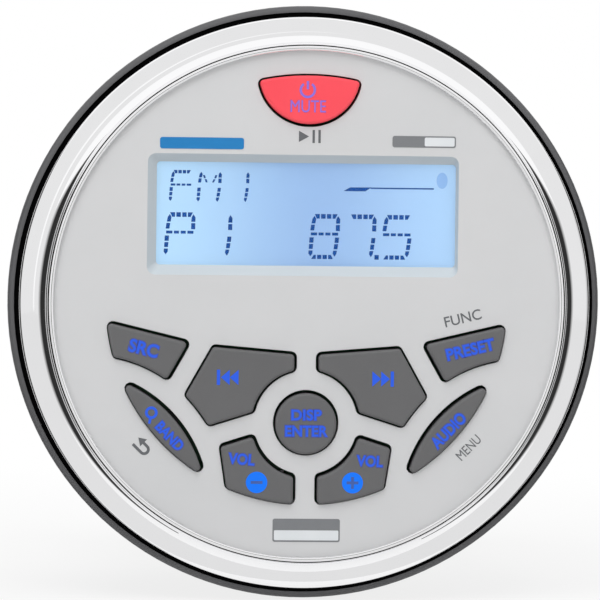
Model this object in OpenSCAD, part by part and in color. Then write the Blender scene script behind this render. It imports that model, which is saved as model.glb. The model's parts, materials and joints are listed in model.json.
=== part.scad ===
// Round gauge-style marine stereo for a dash panel.
// Modelled lying on its back: x to the right, y up the face, z out of the face, with the
// panel's front surface at z = 0. in_dash() then stands it up, with the face towards -Y.

/* [Front] */
// Outer diameter of the mounting flange
flange_d = 102; // [98:1:110]
// Thickness of the flange at its rim
flange_t = 3.6; // [3:0.1:4.6]
// Width of flange that shows outside the bezel
flange_rim = 2; // [1.4:0.1:3]
// Thickness of the rubber gasket behind the flange
gasket_t = 2; // [1.5:0.1:3]
// Thickness of the frame's floor
floor_t = 2.2; // [1.8:0.1:3]
// Width of the sloping chrome band
bezel_band = 2.8; // [2.4:0.1:3.5]
// Width of the hollow and the bead between band and face
bezel_step = 3.1; // [2.8:0.1:3.4]
// Height of the bezel's upright outer edge
bezel_edge_h = 2.4; // [1.6:0.1:2.6]
// How far the bezel's lip stands above the face
lip_h = 1; // [0.8:0.1:1.6]
// Thickness of the face plate
fascia_t = 2.4; // [2.2:0.1:3]

/* [Keys] */
// Radius of the circle that the lower keys reach out to
field_r = 34.3; // [33:0.1:36]
// Width of the webs between neighbouring keys
key_web = 3.2; // [3:0.1:3.6]
// Clear gap between a key and its opening
key_gap = 0.4; // [0.3:0.05:0.6]
// How far the keys stand above the face
key_proud = 0.9; // [0.5:0.1:1.5]
// Radius rolled over the keys' top edges
key_round = 0.5; // [0.3:0.05:0.7]
// How much wider apart the keys are than their openings, in percent
key_spread = 0.8; // [0:0.1:0.8]
// Corner radius of the keys' flat tops
key_corner = 0.15; // [0.1:0.05:0.5]
// Travel of a key when pressed
key_travel = 0.6; // [0.3:0.1:0.8]
// Radius of the round enter key's opening
enter_r = 5.6; // [5:0.1:6]
// Distance of the enter key below the middle of the face
enter_drop = 20.2; // [19.5:0.1:21]
// Thickness of the silicone keypad mat
mat_t = 0.8; // [0.6:0.1:1.2]

/* [Display] */
// Width of the window at the face
window_w = 53; // [50:0.5:55]
// Height of the window at the face
window_h = 20.6; // [19:0.2:22]
// Height of the window's middle above the middle of the face
window_y = 15.1; // [14.5:0.1:16]
// Depth of the window's sloping frame
window_depth = 1.5; // [1.2:0.1:1.8]
// Width of the sloping frame at the left
slope_left = 1.6; // [1:0.1:2]
// Width of the sloping frame at the right
slope_right = 0.4; // [0.3:0.1:1]
// Width of the sloping frame at the top
slope_top = 1.4; // [1:0.1:2]
// Width of the sloping frame at the foot
slope_foot = 1.7; // [1.2:0.1:2.2]
// How far the lit view sits left of the middle of the face
view_left = 0.25; // [0:0.05:0.4]
// Thickness of the clear lens
lens_t = 1.2; // [1:0.1:1.5]
// Thickness of the liquid crystal panel
lcd_t = 1.5; // [1.2:0.1:1.8]

/* [Barrel] */
// How far the flange reaches past the barrel, which fits a 3 inch gauge hole
flange_lap = 13.5; // [13:0.5:15]
// Wall of the barrel
barrel_wall = 2.2; // [1.8:0.1:3]
// Depth of the barrel behind the panel's face
barrel_depth = 55; // [50:1:70]
// Thickness of the rear cover
cover_t = 3.5; // [3:0.1:5]
// Gap between the heat sink and the stud bosses beside it
sink_gap = 0.7; // [0.5:0.1:3]
// How much less tall the heat sink is than the barrel's radius
sink_inset = 3.5; // [2.5:0.5:7.5]
// Height of the heat sink's fins
fin_h = 8.5; // [6:0.5:10]
// Number of fins
fin_count = 9; // [7:1:10]

/* [Clamp] */
// Thickness of the panel that the clamp is set for
panel_t = 6; // [4.5:0.5:10]
// Distance of the studs in from the barrel's side
stud_inset = 6.5; // [5.5:0.5:7]
// Diameter of the studs
stud_d = 5; // [4:0.5:5]
// Thickness of the clamp's strap
strap_t = 2; // [1.5:0.1:2.5]
// Width of the clamp's strap
strap_w = 16; // [14:1:20]
// Diameter of the thumb nuts
nut_d = 14; // [12:0.5:15]
// Height of the thumb nuts
nut_h = 8; // [7:0.5:10]
// How far the clamp can be backed off
clamp_back = 8; // [6:0.5:12]

/* [Boards and leads] */
// Thickness of the circuit boards
board_t = 1.6; // [1.2:0.1:2]
// Height of a switch body on its board
switch_h = 1.5; // [1.3:0.1:2]
// Side of a square switch body
switch_w = 4.6; // [4:0.1:5]
// Gap between the rear cover and the main board
main_board_gap = 11; // [9:0.5:13]
// Bore of the grommet for power and speaker leads
power_bore = 9; // [7:0.5:10]
// Bore of the grommet for the signal leads
signal_bore = 7; // [5:0.5:8]

/* [Hidden] */

// Resolution of long arcs and of small ones
$fn = 96;
corner_fn = 24;
// Small overlap for clean cuts
eps = 0.01;
// Gap between faces of pieces that move on each other
touch = 0.05;
// Gap between pieces that drop into each other
slip = 0.15;

// Radii of the front pieces and the barrel
flange_r = flange_d / 2;
bezel_r = flange_r - flange_rim;
step_r = bezel_r - bezel_band;
face_r = step_r - bezel_step;
barrel_r = flange_r - flange_lap;
// The layout of the face is drawn for this radius, and grows or shrinks with the real one
drawn_face_r = 43.1;
face_u = face_r / drawn_face_r;
// Width of face plate held under the bezel's lip
lip_hold = 0.4;
fascia_r = face_r + lip_hold;
fascia_skirt_t = 1.8;
cavity_r = fascia_r - fascia_skirt_t;
bezel_skirt_t = 1.5;
cup_r = bezel_r - bezel_skirt_t - slip;
// Height of the frame's wall inside the bezel
cup_h = 3.6;
// Roundings of the bezel: outer edge, swell of the band, hollow up to the bead, and bead
edge_round = 0.9;
band_swell = 0.1;
step_drop = 3;
hollow_end = 83;
bead_r = 0.55;
// The flange's rolled rim, and the groove that shows as a dark line round the bezel
rim_round = 1;
groove_w = 0.8;
groove_in = 0.4;
groove_depth = 0.8;

// Heights of the front pieces, from the panel outwards
flange_z = gasket_t + flange_t;
floor_z = gasket_t + floor_t;
cup_z = floor_z + cup_h;
board_stand = 0.8;
board_z = floor_z + board_stand;
board_top = board_z + board_t;
switch_top = board_top + switch_h;
plunger_top = switch_top + key_travel + touch;
post_z = plunger_top + touch;
post_h = 1.05;
key_z = post_z + post_h;
fascia_z = key_z + mat_t;
face_z = fascia_z + fascia_t;
key_top = face_z + key_proud;
lip_z = face_z + lip_h;
// Floor of a switch, which its stem stops above when fully pressed
switch_floor = 0.3;
plunger_base = board_top + switch_floor;

// The display, from the lens back to the board
lens_top = face_z - window_depth;
lens_z = lens_top - lens_t;
lcd_gap = 0.2;
lcd_top = lens_z - lcd_gap;
lcd_z = lcd_top - lcd_t;
pane_w = window_w * face_u;
pane_h = window_h * face_u;
pane_y = window_y * face_u;
view_w = pane_w - slope_left - slope_right;
view_h = pane_h - slope_top - slope_foot;
// The four slopes set the window about the lit view
view_at = [-view_left * face_u, pane_y + (slope_foot - slope_top) / 2];
window_at = [view_at[0] + (slope_right - slope_left) / 2, pane_y];
window_r = 1.4;
view_r = 0.6;
lens_edge = 1.2;
lcd_edge = 1.6;
holder_wall = 1.2;
holder_w = view_w + 2 * (lcd_edge + slip + holder_wall);
holder_h = view_h + 2 * (lcd_edge + slip + holder_wall);

// The lower keys are laid out about three centres: the face, the enter key and the arc of a lobe key
face_c = [0, 0];
enter_c = [0, -enter_drop * face_u];
enter_hole_r = enter_r * face_u;
web = key_web * face_u;
lobe_r = 23.5 * face_u;
lobe_wide = 5.05 * face_u;
lobe_turn = 221.25;
lobe_c = (field_r * face_u + lobe_r - lobe_wide) * ray(lobe_turn);
power_margin = 3.9 * face_u;
power_top_r = face_r - power_margin;
power_arc_r = 9.05 * face_u;
corner_r = key_gap + key_round + key_corner;
// Height on the face above which the keys spread no further
spread_top = 10;

// The edges of the keys. A line is a point and a direction, with the key on its left-hand side.
// A circle is a centre, a radius, and 1 where the key is inside it or -1 where it is outside.
field_edge = [face_c, field_r * face_u, 1];
ring_edge = [enter_c, enter_hole_r + web, -1];
lobe_web_edge = [lobe_c, lobe_r + web, -1];
middle_edge = [[-web / 2, 0], 90];
source_foot = [[-36.7, -31.75] * face_u, 22.5 * face_u, -1];
source_side = [[-21.43, -9.99] * face_u, 60.7];
source_top = [[-20.5, -6.12] * face_u, 166.5];
previous_foot = [[-8.9, -18.67] * face_u, 17.7];
previous_top = [[-15.7, -6.93] * face_u, 175.2];
volume_side = [[-14.25, -28] * face_u, 278.8];
// The same line for the key across the web
function across(line) = [line[0] - web * ray(line[1] + 90), line[1] + 180];
POWER_EDGES = [[face_c, power_top_r, 1], [[0, power_top_r], power_arc_r, 1]];
SOURCE_EDGES = [source_foot, source_side, source_top, field_edge];
PREVIOUS_EDGES = [
    previous_foot, ring_edge, middle_edge, previous_top, across(source_side), lobe_web_edge
];
BAND_EDGES = [field_edge, [lobe_c, lobe_r, 1]];
VOLUME_EDGES = [field_edge, middle_edge, ring_edge, across(previous_foot), volume_side];
// Steps along a round edge, round a corner, over a key's top edge and round other small arcs
edge_steps = 8;
corner_steps = 4;
roll_steps = 4;
arc_steps = 6;
// Heights and insets of a key, from its foot up and over its rolled top edge
KEY_RINGS = concat([[key_z, key_gap]], [for (i = [0 : roll_steps]) let (t = 90 * i / roll_steps)
    [key_top - key_round * (1 - sin(t)), key_gap + key_round * (1 - cos(t))]]);

// The places of the switches under the keys
lobe_mid = (field_r * face_u + norm(lobe_c) - lobe_r) / 2 * lobe_c / norm(lobe_c);
power_at = [0, power_top_r - power_arc_r / 2];
source_at = [-27.2, -7.9] * face_u;
previous_at = [-11.6, -12.6] * face_u;
volume_at = [-8.4, -29.2] * face_u;
function flip(p) = [-p[0], p[1]];
// The mirror image of a line of points, in reverse order
function turned(line) = [for (i = [len(line) - 1 : -1 : 0]) flip(line[i])];
KEY_PLACES = [
    power_at, source_at, flip(source_at), previous_at, flip(previous_at),
    enter_c, lobe_mid, flip(lobe_mid), volume_at, flip(volume_at)
];
post_r = 1.5;
plunger_r = 1.1;
// A key lamp and its distance from the switch
led = [1.6, 0.8, 0.7];
led_gap = 1.2;
board_slip = 0.4;

// The barrel and what closes it
barrel_in = barrel_r - barrel_wall;
barrel_z = -barrel_depth;
cover_z = barrel_z - cover_t;
// Bosses for the screws at both ends of the barrel
boss_r = 3.6;
boss_in = 0.5;
boss_at = barrel_in + boss_in - boss_r;
boss_h = 11;
screw_r = 1.5;
screw_slip = 0.1;
screw_bite = 8;
screw_spare = 0.5;
// The cross recess of every screw
recess_w = 0.5;
recess_depth = 0.7;
recess_edge = 0.8;
FRONT_ANGLES = [45, 135, 225, 315];
REAR_ANGLES = [65, 115, 215, 325];
floor_lap = 4.2;
frame_open_r = boss_at - floor_lap;
countersink_r = 2.9;
countersink_h = 1.4;
// Seats of the rear screws, sunk in the cover
screw_seat_r = 2.9;
screw_sink = 1.8;
screw_head_h = 1.6;
cover_round = 0.8;
// How far the cover stands in from the barrel's wall
cover_inset = 0.3;
cover_r = barrel_r - cover_inset;
gasket_gap = 1.5;
gasket_inset = 0.5;
seal_r = 0.45;
seal_slip = 0.08;
rear_seal_at = (barrel_in + barrel_r) / 2;
face_seal_at = (cavity_r + fascia_r) / 2;

// The studs' seats in the rear cover
stud_r = stud_d / 2;
stud_x = barrel_r - stud_inset;
stud_boss_r = 4.3;
stud_boss_h = 3;
stud_root = 2.5;

// The heat sink on the rear cover, with its middle raised by a share of the barrel's radius
sink_rise = 0.187;
sink_y = sink_rise * barrel_r;
sink_tall = barrel_r - sink_inset;
sink_w = 2 * (stud_x - stud_boss_r - sink_gap);
sink_base_t = 3;
sink_z = cover_z - sink_base_t;
sink_back = sink_z - fin_h;
fin_root = 2.2;
fin_tip = 1.4;
fin_pitch = (sink_w - fin_root) / (fin_count - 1);
// Screws in the gaps between the second and third fins from each side
sink_screw_x = (sink_w - fin_root) / 2 - 1.5 * fin_pitch;
sink_screw_edge = 4;
SINK_SCREWS = [for (x = [-1, 1], y = [-1, 1])
    [x * sink_screw_x, sink_y + y * (sink_tall / 2 - sink_screw_edge)]];
sink_screw_r = 1.25;
sink_head_r = (fin_pitch - fin_root) / 2 - slip;
sink_bite = 2.2;

// The grommets below the heat sink
grommet_wall = 2;
grommet_lip = 1.6;
// Their distance from the axis, clear of the barrel's wall, and their angle from straight down
grommet_clear = 1;
grommet_at = barrel_in - grommet_clear - power_bore / 2 - grommet_wall - grommet_lip;
grommet_turn = 23.6;
power_grommet_at = grommet_at * ray(-90 - grommet_turn);
signal_grommet_at = grommet_at * ray(-90 + grommet_turn);
grommet_lip_t = 2;
grommet_nose = 6;
nose_wall = 1.2;
lip_taper = 0.8;

// The clamp, and how far the studs reach
clamp_forward = 4;
strap_gap = 0.5;
stud_clear = 0.4;
strap_front = sink_back - strap_gap - clamp_forward;
strap_back = strap_front - strap_t;
washer_t = 1;
washer_rim = 2.5;
washer_r = stud_r + washer_rim;
nut_z = strap_back - washer_t - touch;
nut_slip = 0.06;
stud_spare = 1.5;
stud_point = 0.6;
stud_end = nut_z - nut_h - clamp_back - stud_spare;
leg_gap = 5.5;
leg_x = barrel_r + leg_gap;
foot_w = 6;
bend_r = 1.5;
flutes = 24;
flute_r = 0.6;
collar_h = 1.5;
collar_in = 2;

// The main board and what stands on it
main_board_z = barrel_z + main_board_gap;
main_board_top = main_board_z + board_t;
main_board_r = boss_at - boss_r - board_slip;
standoff_r = 2.9;
standoff_edge = 3.2;
standoff_at = main_board_r - standoff_edge;
standoff_stem_r = 1.5;
standoff_foot = 2;
standoff_bite = 5;
STANDOFF_ANGLES = [90, 210, 330];
small_screw_r = 1;
small_head_r = 2;
small_head_h = 1.4;
small_slip = 0.08;
frame_boss_r = 2.4;
frame_boss_edge = 3.2;
frame_boss_at = cavity_r - frame_boss_edge;
frame_bite = 1.5;
FRAME_BOSS_ANGLES = [62, 118, 222, 318];
chip = [20, 11.5, 4.6];
// Places and sizes on the main board, in shares of its radius
chip_at = [0, 0.319] * main_board_r;
chip_leads = 15;
lead_pitch = 1.27;
lead_w = 0.7;
lead_out = 2;
CAPACITORS = [[-0.61, -0.163], [-0.603, 0.23], [-0.284, -0.514]] * main_board_r;
capacitor_share = 0.177;
capacitor_r = capacitor_share * main_board_r;
capacitor_h = 16;
can_base = 1.4;
can_neck = 0.5;
tuner_h = 7;
tuner = concat([0.78, 0.6] * main_board_r, tuner_h);
tuner_at = [0.39, -0.035] * main_board_r;
ribbon_w = 14;
ribbon_t = 0.8;
ribbon_share = 0.603;
ribbon_y = ribbon_share * main_board_r;
ribbon_bow = 4;
ribbon_steps = 24;
socket_h = 5;
socket_wall = 1.6;

// Turns the part from lying on its back to standing in a dash
module in_dash() {
    rotate([90, 0, 0]) children();
}

// Points of an arc about c from angle a to angle b
function arc(c, r, a, b, steps) =
    [for (i = [0 : steps]) let (t = a + (b - a) * i / steps) c + r * [cos(t), sin(t)]];

// A ring with a rectangular section
module ring(r_in, r_out, z, h) {
    translate([0, 0, z]) difference() {
        cylinder(r = r_out, h = h);
        translate([0, 0, -eps]) cylinder(r = r_in, h = h + 2 * eps);
    }
}

// A seal ring of round section
module seal(at, z) {
    translate([0, 0, z]) rotate_extrude() translate([at, 0]) circle(r = seal_r, $fn = corner_fn);
}

// The groove that a seal ring lies in, open upwards
module seal_groove(at, z) {
    w = seal_r + seal_slip;
    ring(at - w, at + w, z - 2 * w, 2 * w + eps);
}

// Copies a child round the axis
module at_angles(angles, r) {
    for (a = angles) rotate(a) translate([r, 0, 0]) children();
}

// The cross in a screw's head, cut down from z = 0
module cross_recess(arm) {
    for (a = [0, 90]) rotate(a) translate([-arm, -recess_w / 2, -recess_depth])
        cube([2 * arm, recess_w, recess_depth + eps]);
}

// A screw: shank, and a round head above z = 0 with a cross recess
module pan_screw(r, length, head_r, head_h) {
    difference() {
        union() {
            translate([0, 0, -length]) cylinder(r = r, h = length + eps);
            cylinder(r = head_r, h = head_h);
        }
        translate([0, 0, head_h]) cross_recess(head_r - recess_edge);
    }
}

// A step of one unit at an angle, the angle of a step, and the anticlockwise turn between two angles
function ray(a) = [cos(a), sin(a)];
function angle_of(v) = atan2(v[1], v[0]);
function turn(a, b) = ((b - a) % 360 + 360) % 360;

// An edge of a key moved inwards by d, and the way it runs at point p with the key on its left
function is_round(edge) = len(edge) == 3;
function moved_in(edge, d) = is_round(edge)
    ? [edge[0], edge[1] - edge[2] * d, edge[2]]
    : [edge[0] + d * ray(edge[1] + 90), edge[1]];
function heading(edge, p) = is_round(edge)
    ? edge[2] * ray(angle_of(p - edge[0]) + 90)
    : ray(edge[1]);

// Where two edges meet: a line with a circle, two circles by the line through both meetings, two lines
function line_on_circle(line, c, r) =
    let (along = ray(line[1]), foot = line[0] + ((c - line[0]) * along) * along)
    let (half = sqrt(r * r - (c - foot) * (c - foot)))
    [foot - half * along, foot + half * along];
function shared_line(e, f) =
    let (gap = f[0] - e[0], far = norm(gap))
    [e[0] + gap * (far * far + e[1] * e[1] - f[1] * f[1]) / (2 * far * far), angle_of(gap) + 90];
function meets(e, f) =
    is_round(e) && is_round(f) ? line_on_circle(shared_line(e, f), e[0], e[1])
    : is_round(e) ? line_on_circle(f, e[0], e[1])
    : is_round(f) ? line_on_circle(e, f[0], f[1])
    : [e[0] + ray(e[1]) * cross(f[0] - e[0], ray(f[1])) / cross(ray(e[1]), ray(f[1]))];

// The meeting at which the outline turns left from one edge to the next
function corner(e, f) = [for (p = meets(e, f)) if (cross(heading(e, p), heading(f, p)) > 0) p][0];

// The direction out of the key at an edge, seen from a corner's centre
function outward(edge, c) = is_round(edge) ? angle_of(edge[2] * (c - edge[0])) : edge[1] - 90;

// The points of a key's outline, inset by d, with its corners rounded about fixed centres
function key_outline(edges, d) =
    let (n = len(edges))
    let (centres = [for (i = [0 : n - 1])
        corner(moved_in(edges[i], corner_r), moved_in(edges[(i + 1) % n], corner_r))])
    [for (i = [0 : n - 1])
        let (edge = edges[i], next = edges[(i + 1) % n], c = centres[i], c_next = centres[(i + 1) % n])
        let (a = outward(edge, c), b = a + turn(a, outward(next, c)))
        each concat(arc(c, corner_r - d, a, b, corner_steps), along_edge(next, c, c_next, d))];

// The points of a round edge between two corners
function along_edge(edge, from, to, d) = !is_round(edge) ? [] :
    let (a = angle_of(from - edge[0]), z = angle_of(to - edge[0]))
    let (b = edge[2] > 0 ? a + turn(a, z) : a - turn(z, a))
    let (points = arc(edge[0], edge[1] - edge[2] * d, a, b, edge_steps))
    [for (i = [1 : edge_steps - 1]) points[i]];

// All ten openings, in the fascia and in the mat
module key_openings() {
    polygon(key_outline(POWER_EDGES, 0));
    translate(enter_c) circle(r = enter_hole_r);
    for (side = [0, 1], edges = [SOURCE_EDGES, PREVIOUS_EDGES, BAND_EDGES, VOLUME_EDGES])
        mirror([side, 0]) polygon(key_outline(edges, 0));
}

// Rounds the corners of an outline
module rounded(r) {
    offset(r = r, $fn = corner_fn) offset(delta = -r) children();
}

// A rectangle with round corners, about the middle of the lit view
module window_shape(w, h, r, at = view_at) {
    translate(at) rounded(r) square([w, h], center = true);
}

// How far a key sits out from the middle of its opening
function spread(at) = [at[0], min(at[1], spread_top), 0] * key_spread / 100;

// A key lofted through its outline, and the post that presses its switch
module key(edges, at, tint = "#6b6b6b") {
    rings = [for (ring = KEY_RINGS) [for (p = key_outline(edges, ring[1])) [p[0], p[1], ring[0]]]];
    n = len(rings[0]);
    levels = len(rings);
    foot = n * levels;
    points = concat([for (ring = rings) each ring], [[at[0], at[1], key_z], [at[0], at[1], key_top]]);
    sides = [for (k = [0 : levels - 2], i = [0 : n - 1])
        let (a = k * n + i, b = k * n + (i + 1) % n)
        each [[a, a + n, b + n], [a, b + n, b]]];
    ends = [for (i = [0 : n - 1])
        let (j = (i + 1) % n, top = n * (levels - 1))
        each [[foot, i, j], [foot + 1, top + j, top + i]]];
    color(tint) union() {
        translate(spread(at)) polyhedron(points, concat(sides, ends));
        translate([at[0], at[1], post_z]) cylinder(r = post_r, h = post_h + mat_t);
    }
}

// The stem of a switch, which travels with its key
module plunger(at) {
    color("#26262a") translate([at[0], at[1], plunger_base + key_travel])
        cylinder(r = plunger_r, h = plunger_top - plunger_base - key_travel);
}

module power_key() {
    key(POWER_EDGES, power_at, "#ff5060");
}

module enter_key() {
    top = key_top - key_z;
    r = enter_hole_r - key_gap;
    edge = arc([r - key_round, top - key_round], key_round, 0, 90, arc_steps);
    color("#6b6b6b") translate([enter_c[0], enter_c[1], 0]) union() {
        translate(spread(enter_c) + [0, 0, key_z]) rotate_extrude()
            polygon(concat([[0, 0], [r, 0]], edge, [[0, top]]));
        translate([0, 0, post_z]) cylinder(r = post_r, h = post_h + mat_t);
    }
}

// Points of a line from a to b that swells by h to its left
function bow(a, b, h, steps) =
    let (along = (b - a) / norm(b - a))
    [for (i = [1 : steps - 1]) let (t = i / steps)
        a + t * (b - a) + 4 * h * t * (1 - t) * [-along[1], along[0]]];

// The chrome trim: an upright edge, a sloping band, a hollow and a round bead over the face
module bezel_ring() {
    band_foot = [bezel_r, flange_z + bezel_edge_h];
    band_head = [step_r, face_z - step_drop];
    tilt = atan2(band_head[1] - band_foot[1], bezel_band);
    edge = arc(band_foot - [edge_round, 0], edge_round, 0, 90 - tilt, arc_steps);
    bead_out = face_r + 2 * bead_r;
    hollow_r = (step_r - bead_out) / (sin(hollow_end) - sin(tilt));
    hollow = [for (i = [0 : edge_steps]) let (t = tilt + (hollow_end - tilt) * i / edge_steps)
        band_head + hollow_r * [sin(tilt) - sin(t), cos(tilt) - cos(t)]];
    outline = concat(
        [[bezel_r, flange_z + slip]],
        edge,
        bow(edge[arc_steps], band_head, -band_swell, edge_steps),
        hollow,
        arc([face_r + bead_r, lip_z - bead_r], bead_r, 0, 180, 2 * arc_steps),
        [[face_r, face_z + touch], [fascia_r + slip, face_z + touch]],
        [[fascia_r + slip, cup_z + slip], [cup_r + slip, cup_z + slip]],
        [[cup_r + slip, flange_z + slip]]
    );
    color("#e8e8ea") rotate_extrude() polygon(outline);
}

// The face plate, with a skirt that stands on the frame
module fascia() {
    color("#d2d2d2") difference() {
        union() {
            translate([0, 0, fascia_z]) linear_extrude(fascia_t) difference() {
                circle(r = fascia_r);
                key_openings();
            }
            ring(cavity_r, fascia_r, floor_z, fascia_z - floor_z + eps);
        }
        hull() {
            translate([0, 0, lens_top - eps]) linear_extrude(eps)
                window_shape(view_w, view_h, view_r);
            translate([0, 0, face_z]) linear_extrude(eps)
                window_shape(pane_w, pane_h, window_r, window_at);
        }
        translate([0, 0, fascia_z - eps]) linear_extrude(lens_top - fascia_z + eps)
            window_shape(view_w + 2 * (lens_edge + slip), view_h + 2 * (lens_edge + slip), view_r);
    }
}

module window_lens() {
    color("#b9dcff", 0.4) translate([0, 0, lens_z]) linear_extrude(lens_t)
        window_shape(view_w + 2 * lens_edge, view_h + 2 * lens_edge, view_r);
}

module lcd_panel() {
    color("#a9cdf5") translate([0, 0, lcd_z]) linear_extrude(lcd_t)
        window_shape(view_w + 2 * lcd_edge, view_h + 2 * lcd_edge, view_r);
}

module light_guide() {
    color("#e6f2ff") translate([0, 0, board_top]) linear_extrude(lcd_z - board_top)
        window_shape(view_w + 2 * lcd_edge, view_h + 2 * lcd_edge, view_r);
}

// The frame that holds panel and light guide on the board
module lcd_holder() {
    hold = 2 * (lcd_edge + slip);
    color("#f2f2ee") translate([0, 0, board_top]) linear_extrude(lcd_top - board_top)
        difference() {
            window_shape(holder_w, holder_h, window_r);
            window_shape(view_w + hold, view_h + hold, view_r);
        }
}

// The sheet behind the face plate, open round each key and the display
module keypad_mat() {
    color("#3a3a3c") translate([0, 0, key_z]) linear_extrude(mat_t) difference() {
        circle(r = cavity_r - slip);
        window_shape(holder_w + 2 * slip, holder_h + 2 * slip, window_r);
        key_openings();
    }
}

module source_key() {
    key(SOURCE_EDGES, source_at);
}

module preset_key() {
    mirror([1, 0, 0]) source_key();
}

module previous_key() {
    key(PREVIOUS_EDGES, previous_at);
}

module next_key() {
    mirror([1, 0, 0]) previous_key();
}

module band_key() {
    key(BAND_EDGES, lobe_mid);
}

module audio_key() {
    mirror([1, 0, 0]) band_key();
}

module volume_down_key() {
    key(VOLUME_EDGES, volume_at);
}

module volume_up_key() {
    mirror([1, 0, 0]) volume_down_key();
}

// Square switch bodies, each with the bore that its stem slides in
module switch_bodies() {
    color("#8c8c90") for (at = KEY_PLACES) translate([at[0], at[1], board_top]) difference() {
        translate([-switch_w / 2, -switch_w / 2, 0]) cube([switch_w, switch_w, switch_h]);
        translate([0, 0, plunger_base - board_top - touch])
            cylinder(r = plunger_r + touch, h = switch_h);
    }
}

// One lamp on the board beside each switch
module key_leds() {
    color("#7fb2ff") for (at = KEY_PLACES)
        translate([at[0] + switch_w / 2 + led_gap, at[1] - led[1] / 2, board_top]) cube(led);
}

module front_board() {
    color("#1f6a3c") translate([0, 0, board_z]) difference() {
        cylinder(r = cavity_r - board_slip, h = board_t);
        at_angles(FRAME_BOSS_ANGLES, frame_boss_at) translate([0, 0, -eps])
            cylinder(r = small_screw_r + small_slip, h = board_t + 2 * eps);
    }
}

module front_board_screws() {
    color("#b8b8bc") at_angles(FRAME_BOSS_ANGLES, frame_boss_at) translate([0, 0, board_top])
        pan_screw(small_screw_r, board_t + board_stand + frame_bite, small_head_r, small_head_h);
}

module face_seal() {
    color("#1c1c1e") seal(face_seal_at, floor_z - seal_r - seal_slip);
}

// The frame: flange with a rolled rim and a shadow groove, wall inside the bezel, floor and bosses
module front_frame() {
    groove_z = flange_z - groove_depth;
    outline = concat(
        [[frame_open_r, gasket_t], [flange_r, gasket_t]],
        arc([flange_r - rim_round, flange_z - rim_round], rim_round, 0, 90, edge_steps),
        [[bezel_r + groove_w, flange_z], [bezel_r + groove_w, groove_z]],
        [[bezel_r - groove_in, groove_z], [bezel_r - groove_in, flange_z], [cup_r, flange_z]],
        [[cup_r, cup_z], [fascia_r + slip, cup_z], [fascia_r + slip, floor_z]],
        [[frame_open_r, floor_z]]
    );
    color("#2c2c2e") difference() {
        union() {
            rotate_extrude() polygon(outline);
            at_angles(FRAME_BOSS_ANGLES, frame_boss_at) translate([0, 0, floor_z - eps])
                cylinder(r = frame_boss_r, h = board_stand + eps);
        }
        seal_groove(face_seal_at, floor_z);
        at_angles(FRAME_BOSS_ANGLES, frame_boss_at)
            translate([0, 0, floor_z - frame_bite - slip])
                cylinder(r = small_screw_r + small_slip, h = frame_bite + board_stand + 2 * slip);
        at_angles(FRONT_ANGLES, boss_at) {
            translate([0, 0, gasket_t - eps]) cylinder(r = screw_r + screw_slip, h = floor_t);
            translate([0, 0, floor_z - countersink_h])
                cylinder(r1 = screw_r + screw_slip, r2 = countersink_r, h = countersink_h + eps);
        }
    }
}

// Countersunk screws from the frame into the barrel
module frame_screws() {
    color("#b8b8bc") at_angles(FRONT_ANGLES, boss_at) difference() {
        union() {
            translate([0, 0, gasket_t - screw_bite])
                cylinder(r = screw_r, h = screw_bite + floor_t - countersink_h);
            translate([0, 0, floor_z - countersink_h - eps])
                cylinder(r1 = screw_r, r2 = countersink_r - screw_slip, h = countersink_h);
        }
        translate([0, 0, floor_z - eps]) cross_recess(countersink_r - 2 * recess_edge);
    }
}

module gasket() {
    color("#1a1a1b") ring(barrel_r + gasket_gap, flange_r - gasket_inset, 0, gasket_t);
}

// The round can through the panel, with screw bosses at both ends
module barrel() {
    color("#242426") difference() {
        union() {
            ring(barrel_in, barrel_r, barrel_z, barrel_depth + gasket_t);
            intersection() {
                translate([0, 0, barrel_z]) cylinder(r = barrel_in + boss_in, h = barrel_depth + gasket_t);
                union() {
                    at_angles(FRONT_ANGLES, boss_at) translate([0, 0, gasket_t - boss_h])
                        cylinder(r = boss_r, h = boss_h);
                    at_angles(REAR_ANGLES, boss_at) translate([0, 0, barrel_z])
                        cylinder(r = boss_r, h = boss_h);
                }
            }
        }
        at_angles(FRONT_ANGLES, boss_at) translate([0, 0, gasket_t - screw_bite - screw_spare])
            cylinder(r = screw_r + small_slip, h = screw_bite + 2 * screw_spare);
        at_angles(REAR_ANGLES, boss_at) translate([0, 0, barrel_z - eps])
            cylinder(r = screw_r + small_slip, h = screw_bite + screw_spare);
    }
}

module rear_seal() {
    color("#1c1c1e") seal(rear_seal_at, barrel_z - seal_r - seal_slip);
}

// The cover that closes the barrel, with stud bosses, grommet holes and sunk screw seats
module rear_cover() {
    outline = concat(
        [[0, cover_z], [cover_r - cover_round, cover_z]],
        arc([cover_r - cover_round, cover_z + cover_round], cover_round, -90, 0, arc_steps),
        [[cover_r, barrel_z], [0, barrel_z]]
    );
    color("#3a3c40") difference() {
        union() {
            rotate_extrude() polygon(outline);
            for (x = [-stud_x, stud_x]) translate([x, 0, cover_z - stud_boss_h])
                cylinder(r = stud_boss_r, h = stud_boss_h + eps);
        }
        seal_groove(rear_seal_at, barrel_z);
        for (x = [-stud_x, stud_x]) translate([x, 0, cover_z - stud_boss_h - eps])
            cylinder(r = stud_r + nut_slip, h = stud_boss_h + stud_root + nut_slip);
        at_angles(REAR_ANGLES, boss_at) {
            translate([0, 0, cover_z - eps]) cylinder(r = screw_r + screw_slip, h = cover_t + 2 * eps);
            translate([0, 0, cover_z - eps]) cylinder(r = screw_seat_r, h = screw_sink + eps);
        }
        for (at = SINK_SCREWS) translate([at[0], at[1], cover_z - eps])
            cylinder(r = sink_screw_r + small_slip, h = sink_bite + slip);
        grommet_hole(power_grommet_at, power_bore);
        grommet_hole(signal_grommet_at, signal_bore);
        at_angles(STANDOFF_ANGLES, standoff_at) translate([0, 0, barrel_z - standoff_foot])
            cylinder(r = standoff_stem_r + small_slip, h = standoff_foot + eps);
    }
}

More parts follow.
